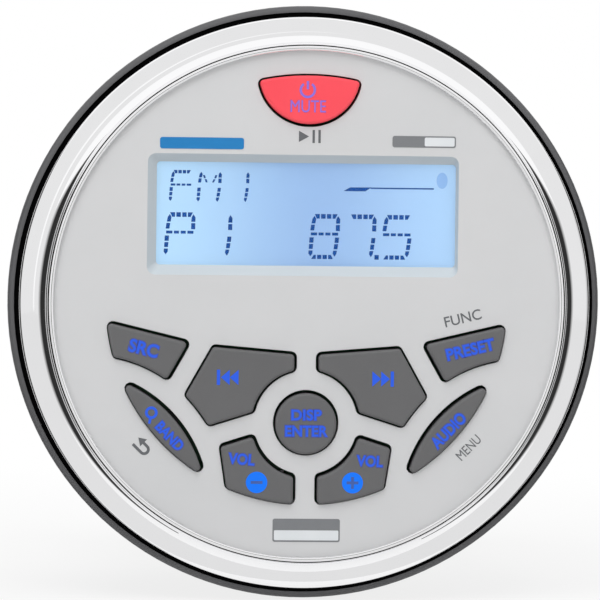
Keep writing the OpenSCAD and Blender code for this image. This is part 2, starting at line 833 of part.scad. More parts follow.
module grommet_hole(at, bore) {
    translate([at[0], at[1], cover_z - eps])
        cylinder(r = bore / 2 + grommet_wall, h = cover_t + 2 * eps);
}

module cover_screws() {
    color("#b8b8bc") at_angles(REAR_ANGLES, boss_at) translate([0, 0, cover_z + screw_sink])
        rotate([180, 0, 0]) pan_screw(screw_r, cover_t - screw_sink + screw_bite,
                                      screw_seat_r - screw_slip, screw_head_h);
}

// An extruded block with tapered upright fins
module heat_sink() {
    first = (fin_root - sink_w) / 2;
    comb = [for (i = [0 : fin_count - 1], corner = [
        [-fin_root / 2, sink_z], [-fin_tip / 2, sink_back], [fin_tip / 2, sink_back], [fin_root / 2, sink_z]
    ]) corner + [first + i * fin_pitch, 0]];
    color("#56585c") difference() {
        translate([0, sink_y, 0]) rotate([90, 0, 0]) translate([0, 0, -sink_tall / 2])
            linear_extrude(sink_tall)
                polygon(concat([[-sink_w / 2, cover_z]], comb, [[sink_w / 2, cover_z]]));
        for (at = SINK_SCREWS) translate([at[0], at[1], sink_z - eps])
            cylinder(r = sink_screw_r + screw_slip, h = sink_base_t + 2 * eps);
    }
}

module heat_sink_screws() {
    color("#b8b8bc") for (at = SINK_SCREWS) translate([at[0], at[1], sink_z]) rotate([180, 0, 0])
        pan_screw(sink_screw_r, sink_base_t + sink_bite, sink_head_r, small_head_h);
}

// A rubber bush through the cover: lip inside, waist in the hole, lip and tapered nose outside
module grommet(at, bore) {
    r = bore / 2;
    waist = r + grommet_wall - touch;
    lip = r + grommet_wall + grommet_lip;
    back = cover_z - grommet_lip_t;
    outline = [
        [r, barrel_z + grommet_lip_t], [lip - lip_taper, barrel_z + grommet_lip_t],
        [lip, barrel_z + touch], [waist, barrel_z + touch],
        [waist, cover_z - touch], [lip, cover_z - touch],
        [lip - lip_taper, back], [waist, back],
        [r + nose_wall, back - grommet_nose], [r, back - grommet_nose]
    ];
    color("#1d1d1f") translate([at[0], at[1], 0]) rotate_extrude() polygon(outline);
}

module power_grommet() {
    grommet(power_grommet_at, power_bore);
}

module signal_grommet() {
    grommet(signal_grommet_at, signal_bore);
}

module main_board() {
    color("#1f6a3c") translate([0, 0, main_board_z]) difference() {
        cylinder(r = main_board_r, h = board_t);
        at_angles(STANDOFF_ANGLES, standoff_at) translate([0, 0, -eps])
            cylinder(r = small_screw_r + small_slip, h = board_t + 2 * eps);
    }
}

// Hexagonal spacers that stand in the cover and carry the main board
module board_standoffs() {
    color("#c8b070") at_angles(STANDOFF_ANGLES, standoff_at) difference() {
        union() {
            translate([0, 0, barrel_z]) cylinder(r = standoff_r, h = main_board_gap, $fn = 6);
            translate([0, 0, barrel_z - standoff_foot + touch])
                cylinder(r = standoff_stem_r, h = standoff_foot);
        }
        translate([0, 0, main_board_z - standoff_bite - slip])
            cylinder(r = small_screw_r + small_slip, h = standoff_bite + 2 * slip);
    }
}

module main_board_screws() {
    color("#b8b8bc") at_angles(STANDOFF_ANGLES, standoff_at) translate([0, 0, main_board_top])
        pan_screw(small_screw_r, board_t + standoff_bite, small_head_r, small_head_h);
}

// The power amplifier against the cover, with a row of bent leads up to the main board
module amplifier_chip() {
    edge = chip_at[1] - chip[1] / 2;
    color("#222224") union() {
        translate([chip_at[0] - chip[0] / 2, edge, barrel_z]) cube(chip);
        for (i = [0 : chip_leads - 1])
            translate([chip_at[0] + (i - (chip_leads - 1) / 2) * lead_pitch - lead_w / 2, 0, 0]) {
                translate([0, edge - lead_out, barrel_z + chip[2] / 2])
                    cube([lead_w, lead_out + eps, lead_w]);
                translate([0, edge - lead_out, barrel_z + chip[2] / 2])
                    cube([lead_w, lead_w, main_board_gap - chip[2] / 2]);
            }
    }
}

// Upright cans, each with a rolled neck
module capacitors() {
    neck = capacitor_r - can_neck;
    shoulder = capacitor_h - can_neck;
    outline = [
        [0, 0], [capacitor_r, 0], [capacitor_r, can_base], [neck, can_base + can_neck],
        [capacitor_r, can_base + 2 * can_neck], [capacitor_r, shoulder], [neck, capacitor_h],
        [0, capacitor_h]
    ];
    color("#2a2f58") for (at = CAPACITORS) translate([at[0], at[1], main_board_top])
        rotate_extrude() polygon(outline);
}

module tuner_module() {
    color("#c4c6ca") translate([tuner_at[0] - tuner[0] / 2, tuner_at[1] - tuner[1] / 2, main_board_top])
        cube(tuner);
}

// The flat cable between the boards, with a slack bow
module ribbon_cable() {
    top = board_z - socket_h;
    foot = main_board_top + socket_h;
    function line(side) = [for (i = [0 : ribbon_steps]) let (t = i / ribbon_steps)
        [ribbon_y - ribbon_bow * (1 - cos(360 * t)) / 2 + side * ribbon_t / 2, top + t * (foot - top)]];
    back = line(1);
    color("#d0d2d6") translate([ribbon_w / 2, 0, 0]) rotate([90, 0, -90]) linear_extrude(ribbon_w)
        mirror([1, 0]) polygon(concat(line(-1), [for (i = [ribbon_steps : -1 : 0]) back[i]]));
}

module ribbon_sockets() {
    size = [ribbon_w + 2 * socket_wall, ribbon_t + 2 * socket_wall, socket_h];
    color("#e8e4d8") for (z = [board_z - socket_h, main_board_top])
        translate([-size[0] / 2, ribbon_y - size[1] / 2, z]) cube(size);
}

module mounting_studs() {
    outline = [
        [0, stud_end], [stud_r - stud_point, stud_end], [stud_r, stud_end + stud_point],
        [stud_r, cover_z + stud_root], [0, cover_z + stud_root]
    ];
    color("#c6c8cc") for (x = [-stud_x, stud_x]) translate([x, 0, 0]) rotate_extrude() polygon(outline);
}

// The strap that clamps the panel: feet, legs and crossbar bent from one strip
module clamp_bracket() {
    foot_c = [leg_x + strap_t + bend_r, -panel_t - strap_t - bend_r];
    back_c = [leg_x - bend_r, strap_front + bend_r];
    // The strip's two sides, from the right foot to the crossbar and back
    outer = concat(
        [[leg_x + foot_w, -panel_t], [leg_x + foot_w, -panel_t - strap_t]],
        arc(foot_c, bend_r, 90, 180, arc_steps),
        arc(back_c, bend_r + strap_t, 0, -90, edge_steps)
    );
    inner = concat(
        arc(back_c, bend_r, -90, 0, arc_steps),
        arc(foot_c, bend_r + strap_t, 180, 90, edge_steps)
    );
    color("#b4b6ba") difference() {
        rotate([90, 0, 0]) translate([0, 0, -strap_w / 2]) linear_extrude(strap_w)
            polygon(concat(outer, turned(outer), turned(inner), inner));
        for (x = [-stud_x, stud_x]) translate([x, 0, strap_back - eps])
            cylinder(r = stud_r + stud_clear, h = strap_t + 2 * eps);
    }
}

module stud_washers() {
    color("#c6c8cc") for (x = [-stud_x, stud_x]) translate([x, 0, 0])
        ring(stud_r + stud_clear, washer_r, strap_back - washer_t, washer_t);
}

// A thumb nut: plain collar and a fluted grip
module thumb_nut() {
    translate([0, 0, nut_z]) rotate([180, 0, 0]) difference() {
        union() {
            cylinder(r = nut_d / 2 - collar_in, h = collar_h + eps);
            translate([0, 0, collar_h]) linear_extrude(nut_h - collar_h) difference() {
                circle(r = nut_d / 2);
                for (i = [0 : flutes - 1]) rotate(i * 360 / flutes)
                    translate([nut_d / 2 + flute_r / 2, 0]) circle(r = flute_r);
            }
        }
        translate([0, 0, -eps]) cylinder(r = stud_r + nut_slip, h = nut_h + 2 * eps);
    }
}

module left_nut() {
    color("#c9a24c") translate([-stud_x, 0, 0]) thumb_nut();
}

module right_nut() {
    color("#c9a24c") translate([stud_x, 0, 0]) thumb_nut();
}

module power_plunger() {
    plunger(power_at);
}

module source_plunger() {
    plunger(source_at);
}

module preset_plunger() {
    plunger(flip(source_at));
}

module previous_plunger() {
    plunger(previous_at);
}

module next_plunger() {
    plunger(flip(previous_at));
}

module enter_plunger() {
    plunger(enter_c);
}

module band_plunger() {
    plunger(lobe_mid);
}

module audio_plunger() {
    plunger(flip(lobe_mid));
}

module volume_down_plunger() {
    plunger(volume_at);
}

module volume_up_plunger() {
    plunger(flip(volume_at));
}

in_dash() bezel_ring();
in_dash() fascia();
in_dash() window_lens();
in_dash() lcd_panel();
in_dash() light_guide();
in_dash() lcd_holder();
in_dash() keypad_mat();
in_dash() power_key();
in_dash() source_key();
in_dash() preset_key();
in_dash() previous_key();
in_dash() next_key();
in_dash() enter_key();
in_dash() band_key();
in_dash() audio_key();
in_dash() volume_down_key();
in_dash() volume_up_key();
in_dash() power_plunger();
in_dash() source_plunger();
in_dash() preset_plunger();
in_dash() previous_plunger();
in_dash() next_plunger();
in_dash() enter_plunger();
in_dash() band_plunger();
in_dash() audio_plunger();
in_dash() volume_down_plunger();
in_dash() volume_up_plunger();
in_dash() switch_bodies();
in_dash() key_leds();
in_dash() front_board();
in_dash() front_board_screws();
in_dash() face_seal();
in_dash() front_frame();
in_dash() frame_screws();
in_dash() gasket();
in_dash() barrel();
in_dash() rear_seal();
in_dash() rear_cover();
in_dash() cover_screws();
in_dash() heat_sink();
in_dash() heat_sink_screws();
in_dash() power_grommet();
in_dash() signal_grommet();
in_dash() main_board();
in_dash() board_standoffs();
in_dash() main_board_screws();
in_dash() amplifier_chip();
in_dash() capacitors();
in_dash() tuner_module();
in_dash() ribbon_cable();
in_dash() ribbon_sockets();
in_dash() mounting_studs();
in_dash() clamp_bracket();
in_dash() stud_washers();
in_dash() left_nut();
in_dash() right_nut();
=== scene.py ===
import json
import math

import bmesh
import bpy
from mathutils import Matrix, Vector

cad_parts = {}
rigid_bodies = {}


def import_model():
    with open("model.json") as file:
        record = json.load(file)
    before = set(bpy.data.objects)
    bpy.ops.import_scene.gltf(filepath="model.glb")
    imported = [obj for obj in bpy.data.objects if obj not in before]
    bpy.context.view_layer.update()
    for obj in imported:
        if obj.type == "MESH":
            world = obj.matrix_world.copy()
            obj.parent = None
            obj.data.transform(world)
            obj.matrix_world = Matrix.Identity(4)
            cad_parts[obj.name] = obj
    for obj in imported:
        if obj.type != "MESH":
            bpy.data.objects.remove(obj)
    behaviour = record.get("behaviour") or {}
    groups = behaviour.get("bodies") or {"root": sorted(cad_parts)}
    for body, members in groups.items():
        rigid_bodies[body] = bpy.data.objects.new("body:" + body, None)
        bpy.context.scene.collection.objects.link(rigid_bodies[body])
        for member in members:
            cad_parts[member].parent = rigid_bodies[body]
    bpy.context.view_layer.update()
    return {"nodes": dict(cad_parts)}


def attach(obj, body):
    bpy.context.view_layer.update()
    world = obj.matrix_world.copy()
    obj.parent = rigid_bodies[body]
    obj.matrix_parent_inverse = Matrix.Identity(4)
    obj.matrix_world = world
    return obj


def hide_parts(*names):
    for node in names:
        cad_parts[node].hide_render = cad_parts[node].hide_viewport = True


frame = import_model()
nodes = frame["nodes"]
mm = 0.001
standUp = Matrix.Rotation(math.pi / 2, 4, "X")  # drawn lying on its back, stands with its face to -Y
standMm = standUp @ Matrix.Scale(mm, 4)  # the same for what is drawn in mm
print("frame loaded:", len(nodes), "nodes")

# heights above the panel that several pieces share, in mm
level = {"keyFoot": 9.85, "face": 13.05, "keyTop": 13.95}


# colours are written as they look on screen, 0 to 255
def screen(red, green, blue):
    def linear(c):
        c /= 255
        return c / 12.92 if c <= 0.04045 else ((c + 0.055) / 1.055) ** 2.4
    return (linear(red), linear(green), linear(blue), 1.0)


# values of a node: its inputs by name or number, and its own settings
def setValues(node, values):
    for key, value in values.items():
        if isinstance(key, int) or key in node.inputs:
            node.inputs[key].default_value = value
        else:
            setattr(node, key, value)


# nodes added to a tree, as name: (kind, values), and links, as "node.output > node.input"
def wire(tree, made, added, links):
    def pick(sockets, label):
        return sockets[int(label) if label.isdigit() else label]

    for name, (kind, values) in added.items():
        made[name] = tree.nodes.new(kind)
        setValues(made[name], values)
    for link in links:
        (start, output), (end, taken) = [side.split(".") for side in link.split(" > ")]
        tree.links.new(pick(made[start].outputs, output), pick(made[end].inputs, taken))


def newTree(kind, name, inputs, outputs):
    tree = bpy.data.node_groups.new(name, kind)
    keys = {}
    for label, socketType, value in inputs:
        socket = tree.interface.new_socket(label, in_out="INPUT", socket_type="NodeSocket" + socketType)
        if value is not None:
            socket.default_value = value
        keys[label] = socket.identifier
    for label, socketType in outputs:
        tree.interface.new_socket(label, in_out="OUTPUT", socket_type="NodeSocket" + socketType)
    made = {"given": tree.nodes.new("NodeGroupInput"), "result": tree.nodes.new("NodeGroupOutput")}
    return tree, made, keys


def newMaterial(name):
    material = bpy.data.materials.new(name)
    material.use_nodes = True
    found = material.node_tree.nodes
    return material, {"shader": found["Principled BSDF"], "out": found["Material Output"]}


# grain of a surface: two tones in a slow mottle, gloss and height from a fine one
def makeGrainGroup():
    tree, made, _ = newTree("ShaderNodeTree", "surfaceGrain", [
        ("Tone A", "Color", (0.5, 0.5, 0.5, 1)), ("Tone B", "Color", (0.6, 0.6, 0.6, 1)),
        ("Mottle Scale", "Float", 90.0), ("Grain Scale", "Float", 2500.0),
        ("Stretch", "Vector", (1.0, 1.0, 1.0)), ("Rough Low", "Float", 0.3), ("Rough High", "Float", 0.5)],
        [("Colour", "Color"), ("Roughness", "Float"), ("Height", "Float")])
    wire(tree, made, {
        "place": ("ShaderNodeTexCoord", {}),
        "stretch": ("ShaderNodeVectorMath", {"operation": "MULTIPLY"}),
        "mottle": ("ShaderNodeTexNoise", {"Detail": 3}),
        "grain": ("ShaderNodeTexNoise", {"Detail": 2}),
        "mix": ("ShaderNodeMix", {"data_type": "RGBA"}),
        "rough": ("ShaderNodeMapRange", {"From Min": 0.3, "From Max": 0.7}),
    }, [
        "place.Object > stretch.0", "given.Stretch > stretch.1",
        "stretch.0 > mottle.Vector", "given.Mottle Scale > mottle.Scale",
        "stretch.0 > grain.Vector", "given.Grain Scale > grain.Scale",
        "mottle.Fac > mix.0", "given.Tone A > mix.6", "given.Tone B > mix.7",
        "grain.Fac > rough.Value", "given.Rough Low > rough.To Min", "given.Rough High > rough.To Max",
        "mix.2 > result.Colour", "rough.Result > result.Roughness", "grain.Fac > result.Height",
    ])
    return tree


grainGroup = makeGrainGroup()


# a material whose colour and gloss come from the grain group
def grained(name, tones, rough, grain, values):
    material, made = newMaterial(name)
    (toneA, toneB), (low, high) = tones, rough
    wire(material.node_tree, made, {"grain": ("ShaderNodeGroup", {
        "node_tree": grainGroup, "Tone A": toneA, "Tone B": toneB, "Rough Low": low, "Rough High": high,
        **grain,
    })}, ["grain.Colour > shader.Base Color", "grain.Roughness > shader.Roughness"])
    setValues(made["shader"], values)
    return material, made


# tones on screen, gloss range, size of the mottle and of the grain, depth of the grain in mm
finishes = {
    "chromePlate": {"tones": ((248, 248, 249), (252, 252, 253)), "rough": (0.03, 0.07), "metal": 1.0,
                    "mottle": 150, "grain": 700, "depth": 0.0004},
    "satinSilver": {"tones": ((203, 204, 205), (210, 210, 211)), "rough": (0.40, 0.52), "metal": 0.1,
                    "mottle": 60, "grain": 5200, "depth": 0.006},
    # darker, bluer copy of the satin silver: painted shade and painted reflection of the lit display on the
    # window's sloping frame
    "windowTrim": {"tones": ((191, 200, 206), (198, 206, 211)), "rough": (0.40, 0.52), "metal": 0.1,
                   "mottle": 60, "grain": 5200, "depth": 0.006},
    "keyRubber": {"tones": ((93, 93, 94), (99, 99, 100)), "rough": (0.48, 0.6), "mottle": 110,
                  "grain": 3600, "depth": 0.008},
    "redRubber": {"tones": ((245, 66, 80), (250, 78, 90)), "rough": (0.42, 0.55), "mottle": 110,
                  "grain": 3600, "depth": 0.008},
    "mouldedBlack": {"tones": ((80, 80, 82), (90, 90, 92)), "rough": (0.38, 0.5), "mottle": 80,
                     "grain": 4200, "depth": 0.01},
    # near black and dull: painted shade for the gaps between the keys, where the mat shows
    "matRubberShade": {"tones": ((10, 10, 11), (15, 15, 16)), "rough": (0.6, 0.75), "mottle": 110,
                  "grain": 3600, "depth": 0.008, "sheen": 0.1},
    "canBlack": {"tones": ((38, 39, 41), (47, 48, 50)), "rough": (0.45, 0.6), "mottle": 70,
                 "grain": 2600, "depth": 0.016},
    "sealRubber": {"tones": ((31, 31, 32), (42, 42, 43)), "rough": (0.62, 0.8), "mottle": 160,
                   "grain": 3000, "depth": 0.012},
    "castBlack": {"tones": ((48, 49, 52), (58, 59, 61)), "rough": (0.5, 0.68), "mottle": 90,
                  "grain": 1500, "depth": 0.03},
    "anodisedBlack": {"tones": ((44, 45, 49), (58, 59, 63)), "rough": (0.3, 0.46), "metal": 0.6,
                      "mottle": 70, "grain": 900, "depth": 0.006, "stretch": (12.0, 12.0, 1.0)},
    "zincSteel": {"tones": ((186, 189, 194), (206, 207, 210)), "rough": (0.2, 0.34), "metal": 1.0,
                  "mottle": 220, "grain": 2200, "depth": 0.003},
    "stripSteel": {"tones": ((176, 178, 183), (196, 198, 201)), "rough": (0.26, 0.42), "metal": 1.0,
                   "mottle": 60, "grain": 420, "depth": 0.004, "stretch": (1.0, 14.0, 14.0)},
    "tinnedCan": {"tones": ((196, 199, 202), (212, 214, 215)), "rough": (0.2, 0.32), "metal": 1.0,
                  "mottle": 160, "grain": 1400, "depth": 0.003},
    "turnedBrass": {"tones": ((198, 165, 95), (215, 184, 116)), "rough": (0.2, 0.34), "metal": 1.0,
                    "mottle": 180, "grain": 1400, "depth": 0.004, "stretch": (1.0, 9.0, 1.0)},
    "boardGreen": {"tones": ((24, 92, 50), (33, 108, 60)), "rough": (0.3, 0.42), "mottle": 260,
                   "grain": 1800, "depth": 0.008},
    "whiteDiffuser": {"tones": ((228, 232, 232), (236, 239, 238)), "rough": (0.4, 0.52), "mottle": 90,
                      "grain": 2600, "depth": 0.005},
    "darkSleeve": {"tones": ((30, 36, 70), (40, 46, 84)), "rough": (0.25, 0.36), "mottle": 120,
                   "grain": 2200, "depth": 0.004},
    "cableGrey": {"tones": ((168, 170, 174), (180, 182, 185)), "rough": (0.45, 0.58), "mottle": 80,
                  "grain": 700, "depth": 0.02, "stretch": (3.0, 0.2, 0.2)},
    "switchPlastic": {"tones": ((40, 40, 43), (50, 50, 53)), "rough": (0.35, 0.5), "mottle": 120,
                      "grain": 3000, "depth": 0.006},
    "greyPrint": {"tones": ((116, 118, 121), (125, 127, 130)), "rough": (0.4, 0.5), "mottle": 300,
                  "grain": 5200, "depth": 0.002},
    "wordPrint": {"tones": ((92, 94, 97), (100, 102, 105)), "rough": (0.4, 0.5), "mottle": 300,
                  "grain": 5200, "depth": 0.002},
    "bluePrint": {"tones": ((12, 116, 180), (20, 126, 190)), "rough": (0.35, 0.45), "mottle": 200,
                  "grain": 5200, "depth": 0.002},
    "palePrint": {"tones": ((216, 220, 223), (224, 227, 229)), "rough": (0.35, 0.45), "mottle": 200,
                  "grain": 5200, "depth": 0.002},
    "discInk": {"tones": ((54, 84, 156), (62, 92, 164)), "rough": (0.5, 0.6), "mottle": 400,
                "grain": 5200, "depth": 0.001},
    # near black with almost no sheen: painted shade for the bezel's crease and the groove round it
    "grooveBlack": {"tones": ((5, 5, 6), (9, 9, 10)), "rough": (0.6, 0.75), "mottle": 120,
                    "grain": 3000, "depth": 0.004, "sheen": 0.05},
    "segmentInk": {"tones": ((24, 74, 146), (32, 82, 156)), "rough": (0.3, 0.4), "mottle": 400,
                   "grain": 5200, "depth": 0.001, "sheen": 0.05},
}
grainBump = 0.6  # how strongly the grain's depth shows


def makeFinish(name, look):
    grain = {"Mottle Scale": look["mottle"], "Grain Scale": look["grain"],
             "Stretch": look.get("stretch", (1.0, 1.0, 1.0))}
    shine = {"Metallic": look.get("metal", 0.0), "Specular IOR Level": look.get("sheen", 0.5)}
    material, made = grained(name, [screen(*tone) for tone in look["tones"]], look["rough"], grain, shine)
    wire(material.node_tree, made, {
        "bump": ("ShaderNodeBump", {"Strength": grainBump, "Distance": look["depth"] * mm}),
    }, ["grain.Height > bump.Height", "bump.Normal > shader.Normal"])
    return material


materials = {name: makeFinish(name, look) for name, look in finishes.items()}

# lit things: colour that shines, the body colour under it, and how strongly it shines
glows = {
    "legendBlue": {"lit": (50, 97, 228), "body": (8, 14, 44), "strength": 0.97},
    "legendHalo": {"lit": (44, 76, 210), "body": (58, 64, 104), "strength": 0.55},
    "legendFade": {"lit": (40, 56, 150), "body": (82, 84, 100), "strength": 0.3},
    "discBlue": {"lit": (26, 116, 240), "body": (4, 40, 100), "strength": 0.94},
    "legendViolet": {"lit": (138, 116, 214), "body": (60, 44, 100), "strength": 0.85},
    "violetHalo": {"lit": (176, 84, 150), "body": (130, 50, 70), "strength": 0.7},
    "panelMark": {"lit": (146, 186, 234), "body": (60, 80, 110), "strength": 0.85},
}
glowBody = {"lighter": 8, "rough": (0.5, 0.62), "sheen": 0.1}  # the second tone is lighter, in levels


def makeGlow(name, look):
    tones = [screen(*(c + lighter for c in look["body"])) for lighter in (0, glowBody["lighter"])]
    material, _ = grained(name, tones, glowBody["rough"], {}, {
        "Specular IOR Level": glowBody["sheen"], "Emission Color": screen(*look["lit"]),
        "Emission Strength": look["strength"]})
    return material


for name, look in glows.items():
    materials[name] = makeGlow(name, look)

# the backlit panel: brightest at the lamps at both ends, and a little duller between
panelLight = {"left": (188, 228, 255), "middle": (144, 178, 222), "right": (177, 215, 250),
              "x": (-26.0, 2.0, 26.0), "body": (96, 120, 150), "rough": 0.35, "strength": 0.7}


def makePanelLight(look):
    material, made = newMaterial("litDisplay")
    low, middle, high = look["x"]
    setValues(made["shader"], {"Base Color": screen(*look["body"]), "Roughness": look["rough"],
                               "Emission Strength": look["strength"]})
    wire(material.node_tree, made, {
        "place": ("ShaderNodeTexCoord", {}),
        "split": ("ShaderNodeSeparateXYZ", {}),
        "spread": ("ShaderNodeMapRange", {"From Min": low * mm, "From Max": high * mm}),
        "ramp": ("ShaderNodeValToRGB", {}),
    }, ["place.Object > split.0", "split.X > spread.Value", "spread.Result > ramp.Fac",
        "ramp.Color > shader.Emission Color"])
    ramp = made["ramp"].color_ramp
    ramp.interpolation = "EASE"
    ramp.elements[0].color = screen(*look["left"])
    ramp.elements[1].color = screen(*look["right"])
    ramp.elements.new((middle - low) / (high - low)).color = screen(*look["middle"])
    return material


# clear plastic with a faint cool tint, as linear colours
lensGlass = {"tones": ((1, 1, 1, 1), (0.97, 0.99, 1, 1)), "rough": (0.0, 0.02), "ior": 1.2}


def makeLensGlass(look):
    material, _ = grained("clearLens", look["tones"], look["rough"], {},
                          {"Transmission Weight": 1.0, "IOR": look["ior"]})
    return material


materials["litDisplay"] = makePanelLight(panelLight)
materials["clearLens"] = makeLensGlass(lensGlass)
print("finishes made:", len(materials))

# which finish each carried-over node takes
nodeFinish = {
    "window_lens": "clearLens", "lcd_panel": "litDisplay", "light_guide": "whiteDiffuser",
    # the keypad mat is near black and dull, as painted shade in the gaps between the keys
    "lcd_holder": "whiteDiffuser", "keypad_mat": "matRubberShade", "switch_bodies": "switchPlastic",
    "key_leds": "whiteDiffuser", "front_board": "boardGreen", "front_board_screws": "zincSteel",
    "face_seal": "sealRubber", "frame_screws": "zincSteel", "rear_seal": "sealRubber",
    "main_board": "boardGreen", "board_standoffs": "turnedBrass", "main_board_screws": "zincSteel",
    "amplifier_chip": "switchPlastic", "capacitors": "darkSleeve", "tuner_module": "tinnedCan",
    "ribbon_cable": "cableGrey", "ribbon_sockets": "whiteDiffuser",
}
for node, item in nodes.items():
    item.data.materials.clear()
    item.data.materials.append(materials[nodeFinish.get(node, "switchPlastic")])


def inScene(name, data):
    item = bpy.data.objects.new(name, data)
    bpy.context.scene.collection.objects.link(item)
    return item


def addObject(name, mesh, body, stands=()):
    item = inScene(name, mesh)
    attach(item, body)
    if stands:
        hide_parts(*stands)


def smoothByAngle(mesh, degrees):
    mesh.polygons.foreach_set("use_smooth", [True] * len(mesh.polygons))
    mesh.set_sharp_from_angle(angle=math.radians(degrees))


def meshOf(bm, name, finish, place=None, degrees=35):
    bmesh.ops.recalc_face_normals(bm, faces=bm.faces)
    mesh = bpy.data.meshes.new(name)
    bm.to_mesh(mesh)
    bm.free()
    if place:
        mesh.transform(place)
    mesh.materials.append(materials[finish])
    smoothByAngle(mesh, degrees)
    return mesh


# the evaluated form of an object's modifiers, as a plain mesh
def settled(item, name):
    graph = bpy.context.evaluated_depsgraph_get()
    mesh = bpy.data.meshes.new_from_object(item.evaluated_get(graph))
    mesh.name = name
    bpy.data.objects.remove(item)
    return mesh


# edges that lie on a circle: least angle in radians, tilt in m, distance from the circle in mm
arcEdge = {"sharp": 0.5, "tilt": 1e-6, "near": 0.01, "cuts": 4}


# edges on the given circles of the face are split, and the new corners lie on the circle
def splitArcs(bm, arcs, k):
    for centre, radius in arcs:
        def away(v):
            return Vector((v.co.x, v.co.z)) / mm - Vector(centre)

        def onArc(edge):
            a, b = edge.verts
            return (edge.calc_face_angle(0) > k["sharp"] and abs(a.co.y - b.co.y) < k["tilt"]
                    and all(abs(away(v).length - radius) < k["near"] for v in edge.verts))

        made = bmesh.ops.subdivide_edges(bm, edges=[e for e in bm.edges if onArc(e)], cuts=k["cuts"])
        for v in made["geom_inner"]:
            if isinstance(v, bmesh.types.BMVert):
                x, z = Vector(centre) + away(v).normalized() * radius
                v.co.x, v.co.z = x * mm, z * mm


# merging distance in m, and the angles below which faces are one plane and above which edges are eased
easing = {"merge": 2e-6, "flat": 0.4, "sharp": 32, "segments": 2}


# a merged copy of a node with its sharp edges eased
def easedCopy(node, name, finish, body, slot, ease, second=None, arcs=()):
    source = nodes[node].data.copy()
    if "custom_normal" in source.attributes:
        source.attributes.remove(source.attributes["custom_normal"])
    bm = bmesh.new()
    bm.from_mesh(source)
    bmesh.ops.remove_doubles(bm, verts=bm.verts, dist=easing["merge"])
    bmesh.ops.dissolve_limit(bm, angle_limit=math.radians(easing["flat"]), verts=bm.verts, edges=bm.edges)
    splitArcs(bm, arcs, arcEdge)
    bm.to_mesh(source)
    bm.free()
    source.materials.clear()
    source.materials.append(materials[finish])
    smoothByAngle(source, 180)
    draft = inScene(name + "Draft", source)
    bevel = draft.modifiers.new("easedEdges", "BEVEL")
    bevel.width = ease * mm
    bevel.segments = easing["segments"]
    bevel.limit_method = "ANGLE"
    bevel.angle_limit = math.radians(easing["sharp"])
    bevel.use_clamp_overlap = True
    weigh = draft.modifiers.new("flatFaces", "WEIGHTED_NORMAL")
    weigh.mode = "FACE_AREA"
    weigh.keep_sharp = True
    mesh = settled(draft, name)
    if second:
        other, isOther = second
        mesh.materials.append(materials[other])
        for face in mesh.polygons:
            corners = [mesh.vertices[i].co / mm for i in face.vertices]
            face.material_index = int(all(isOther(at, face.normal) for at in corners))
    addObject(name, mesh, body, (node,))


# a shape tree ends by making its instances real and giving them a finish
def shapeTree(name, inputs, added, links):
    tree, made, keys = newTree("GeometryNodeTree", name, inputs + [("Finish", "Material", None)],
                               [("Geometry", "Geometry")])
    ending = {"real": ("GeometryNodeRealizeInstances", {}), "paint": ("GeometryNodeSetMaterial", {})}
    wire(tree, made, {**added, **ending}, links + [
        "real.0 > paint.Geometry", "given.Finish > paint.Material", "paint.Geometry > result.Geometry"])
    return tree, keys


# a draft mesh taken through a shape tree, whose inputs are set by their identifiers
def shaped(name, draftMesh, shape, finish, values):
    tree, keys = shape
    draft = inScene(name + "Draft", draftMesh)
    modifier = draft.modifiers.new(tree.name, "NODES")
    modifier.node_group = tree
    modifier[keys["Finish"]] = materials[finish]
    for label, value in values.items():
        modifier[keys[label]] = value
    return settled(draft, name)


# the bezel is a turned profile: a tree sweeps it round the axis
turnTree = shapeTree("turnedProfile", [
    ("Profile", "Geometry", None), ("Path Radius", "Float", 0.045), ("Steps", "Int", 320)], {
    "outline": ("GeometryNodeMeshToCurve", {}),
    "path": ("GeometryNodeCurvePrimitiveCircle", {}),
    "sweep": ("GeometryNodeCurveToMesh", {}),
}, ["given.Profile > outline.0", "given.Path Radius > path.Radius", "given.Steps > path.Resolution",
    "path.Curve > sweep.Curve", "outline.Curve > sweep.Profile Curve", "sweep.Mesh > real.0"])


def arcPoints(cx, cy, r, start, end, steps):
    angles = [math.radians(start + (end - start) * i / steps) for i in range(steps + 1)]
    return [(cx + r * math.cos(a), cy + r * math.sin(a)) for a in angles]


# upright edge, sloping band, hollow, crease and bead, then the hidden inside of the ring
bezel = {"outer": 49.0, "foot": 5.75, "edge": 8.0, "edgeRound": 0.9, "head": (46.2, 10.05), "swell": 0.1,
         "hollowEnd": 83, "hollowFoot": 44.2, "crease": (44.11, 43.93, 13.2), "creaseLift": 0.08,
         "near": 0.01, "lip": 14.05, "inner": 43.1, "underLip": 13.1, "skirt": (43.65, 7.95), "cup": 47.5,
         "steps": 720, "fine": 14, "merge": 1e-7, "smooth": 28}


def turned(name, profile, b, finish):
    pathRadius = b["head"][0]
    count = len(profile)
    outline = bpy.data.meshes.new(name + "Profile")
    outline.from_pydata([((r - pathRadius) * mm, -z * mm, 0) for r, z in profile],
                        [(i, (i + 1) % count) for i in range(count)], [])
    bm = bmesh.new()
    bm.from_mesh(shaped(name + "Sweep", outline, turnTree, finish,
                        {"Path Radius": pathRadius * mm, "Steps": b["steps"]}))
    bmesh.ops.remove_doubles(bm, verts=bm.verts, dist=b["merge"])
    return meshOf(bm, name, finish, standUp, b["smooth"])


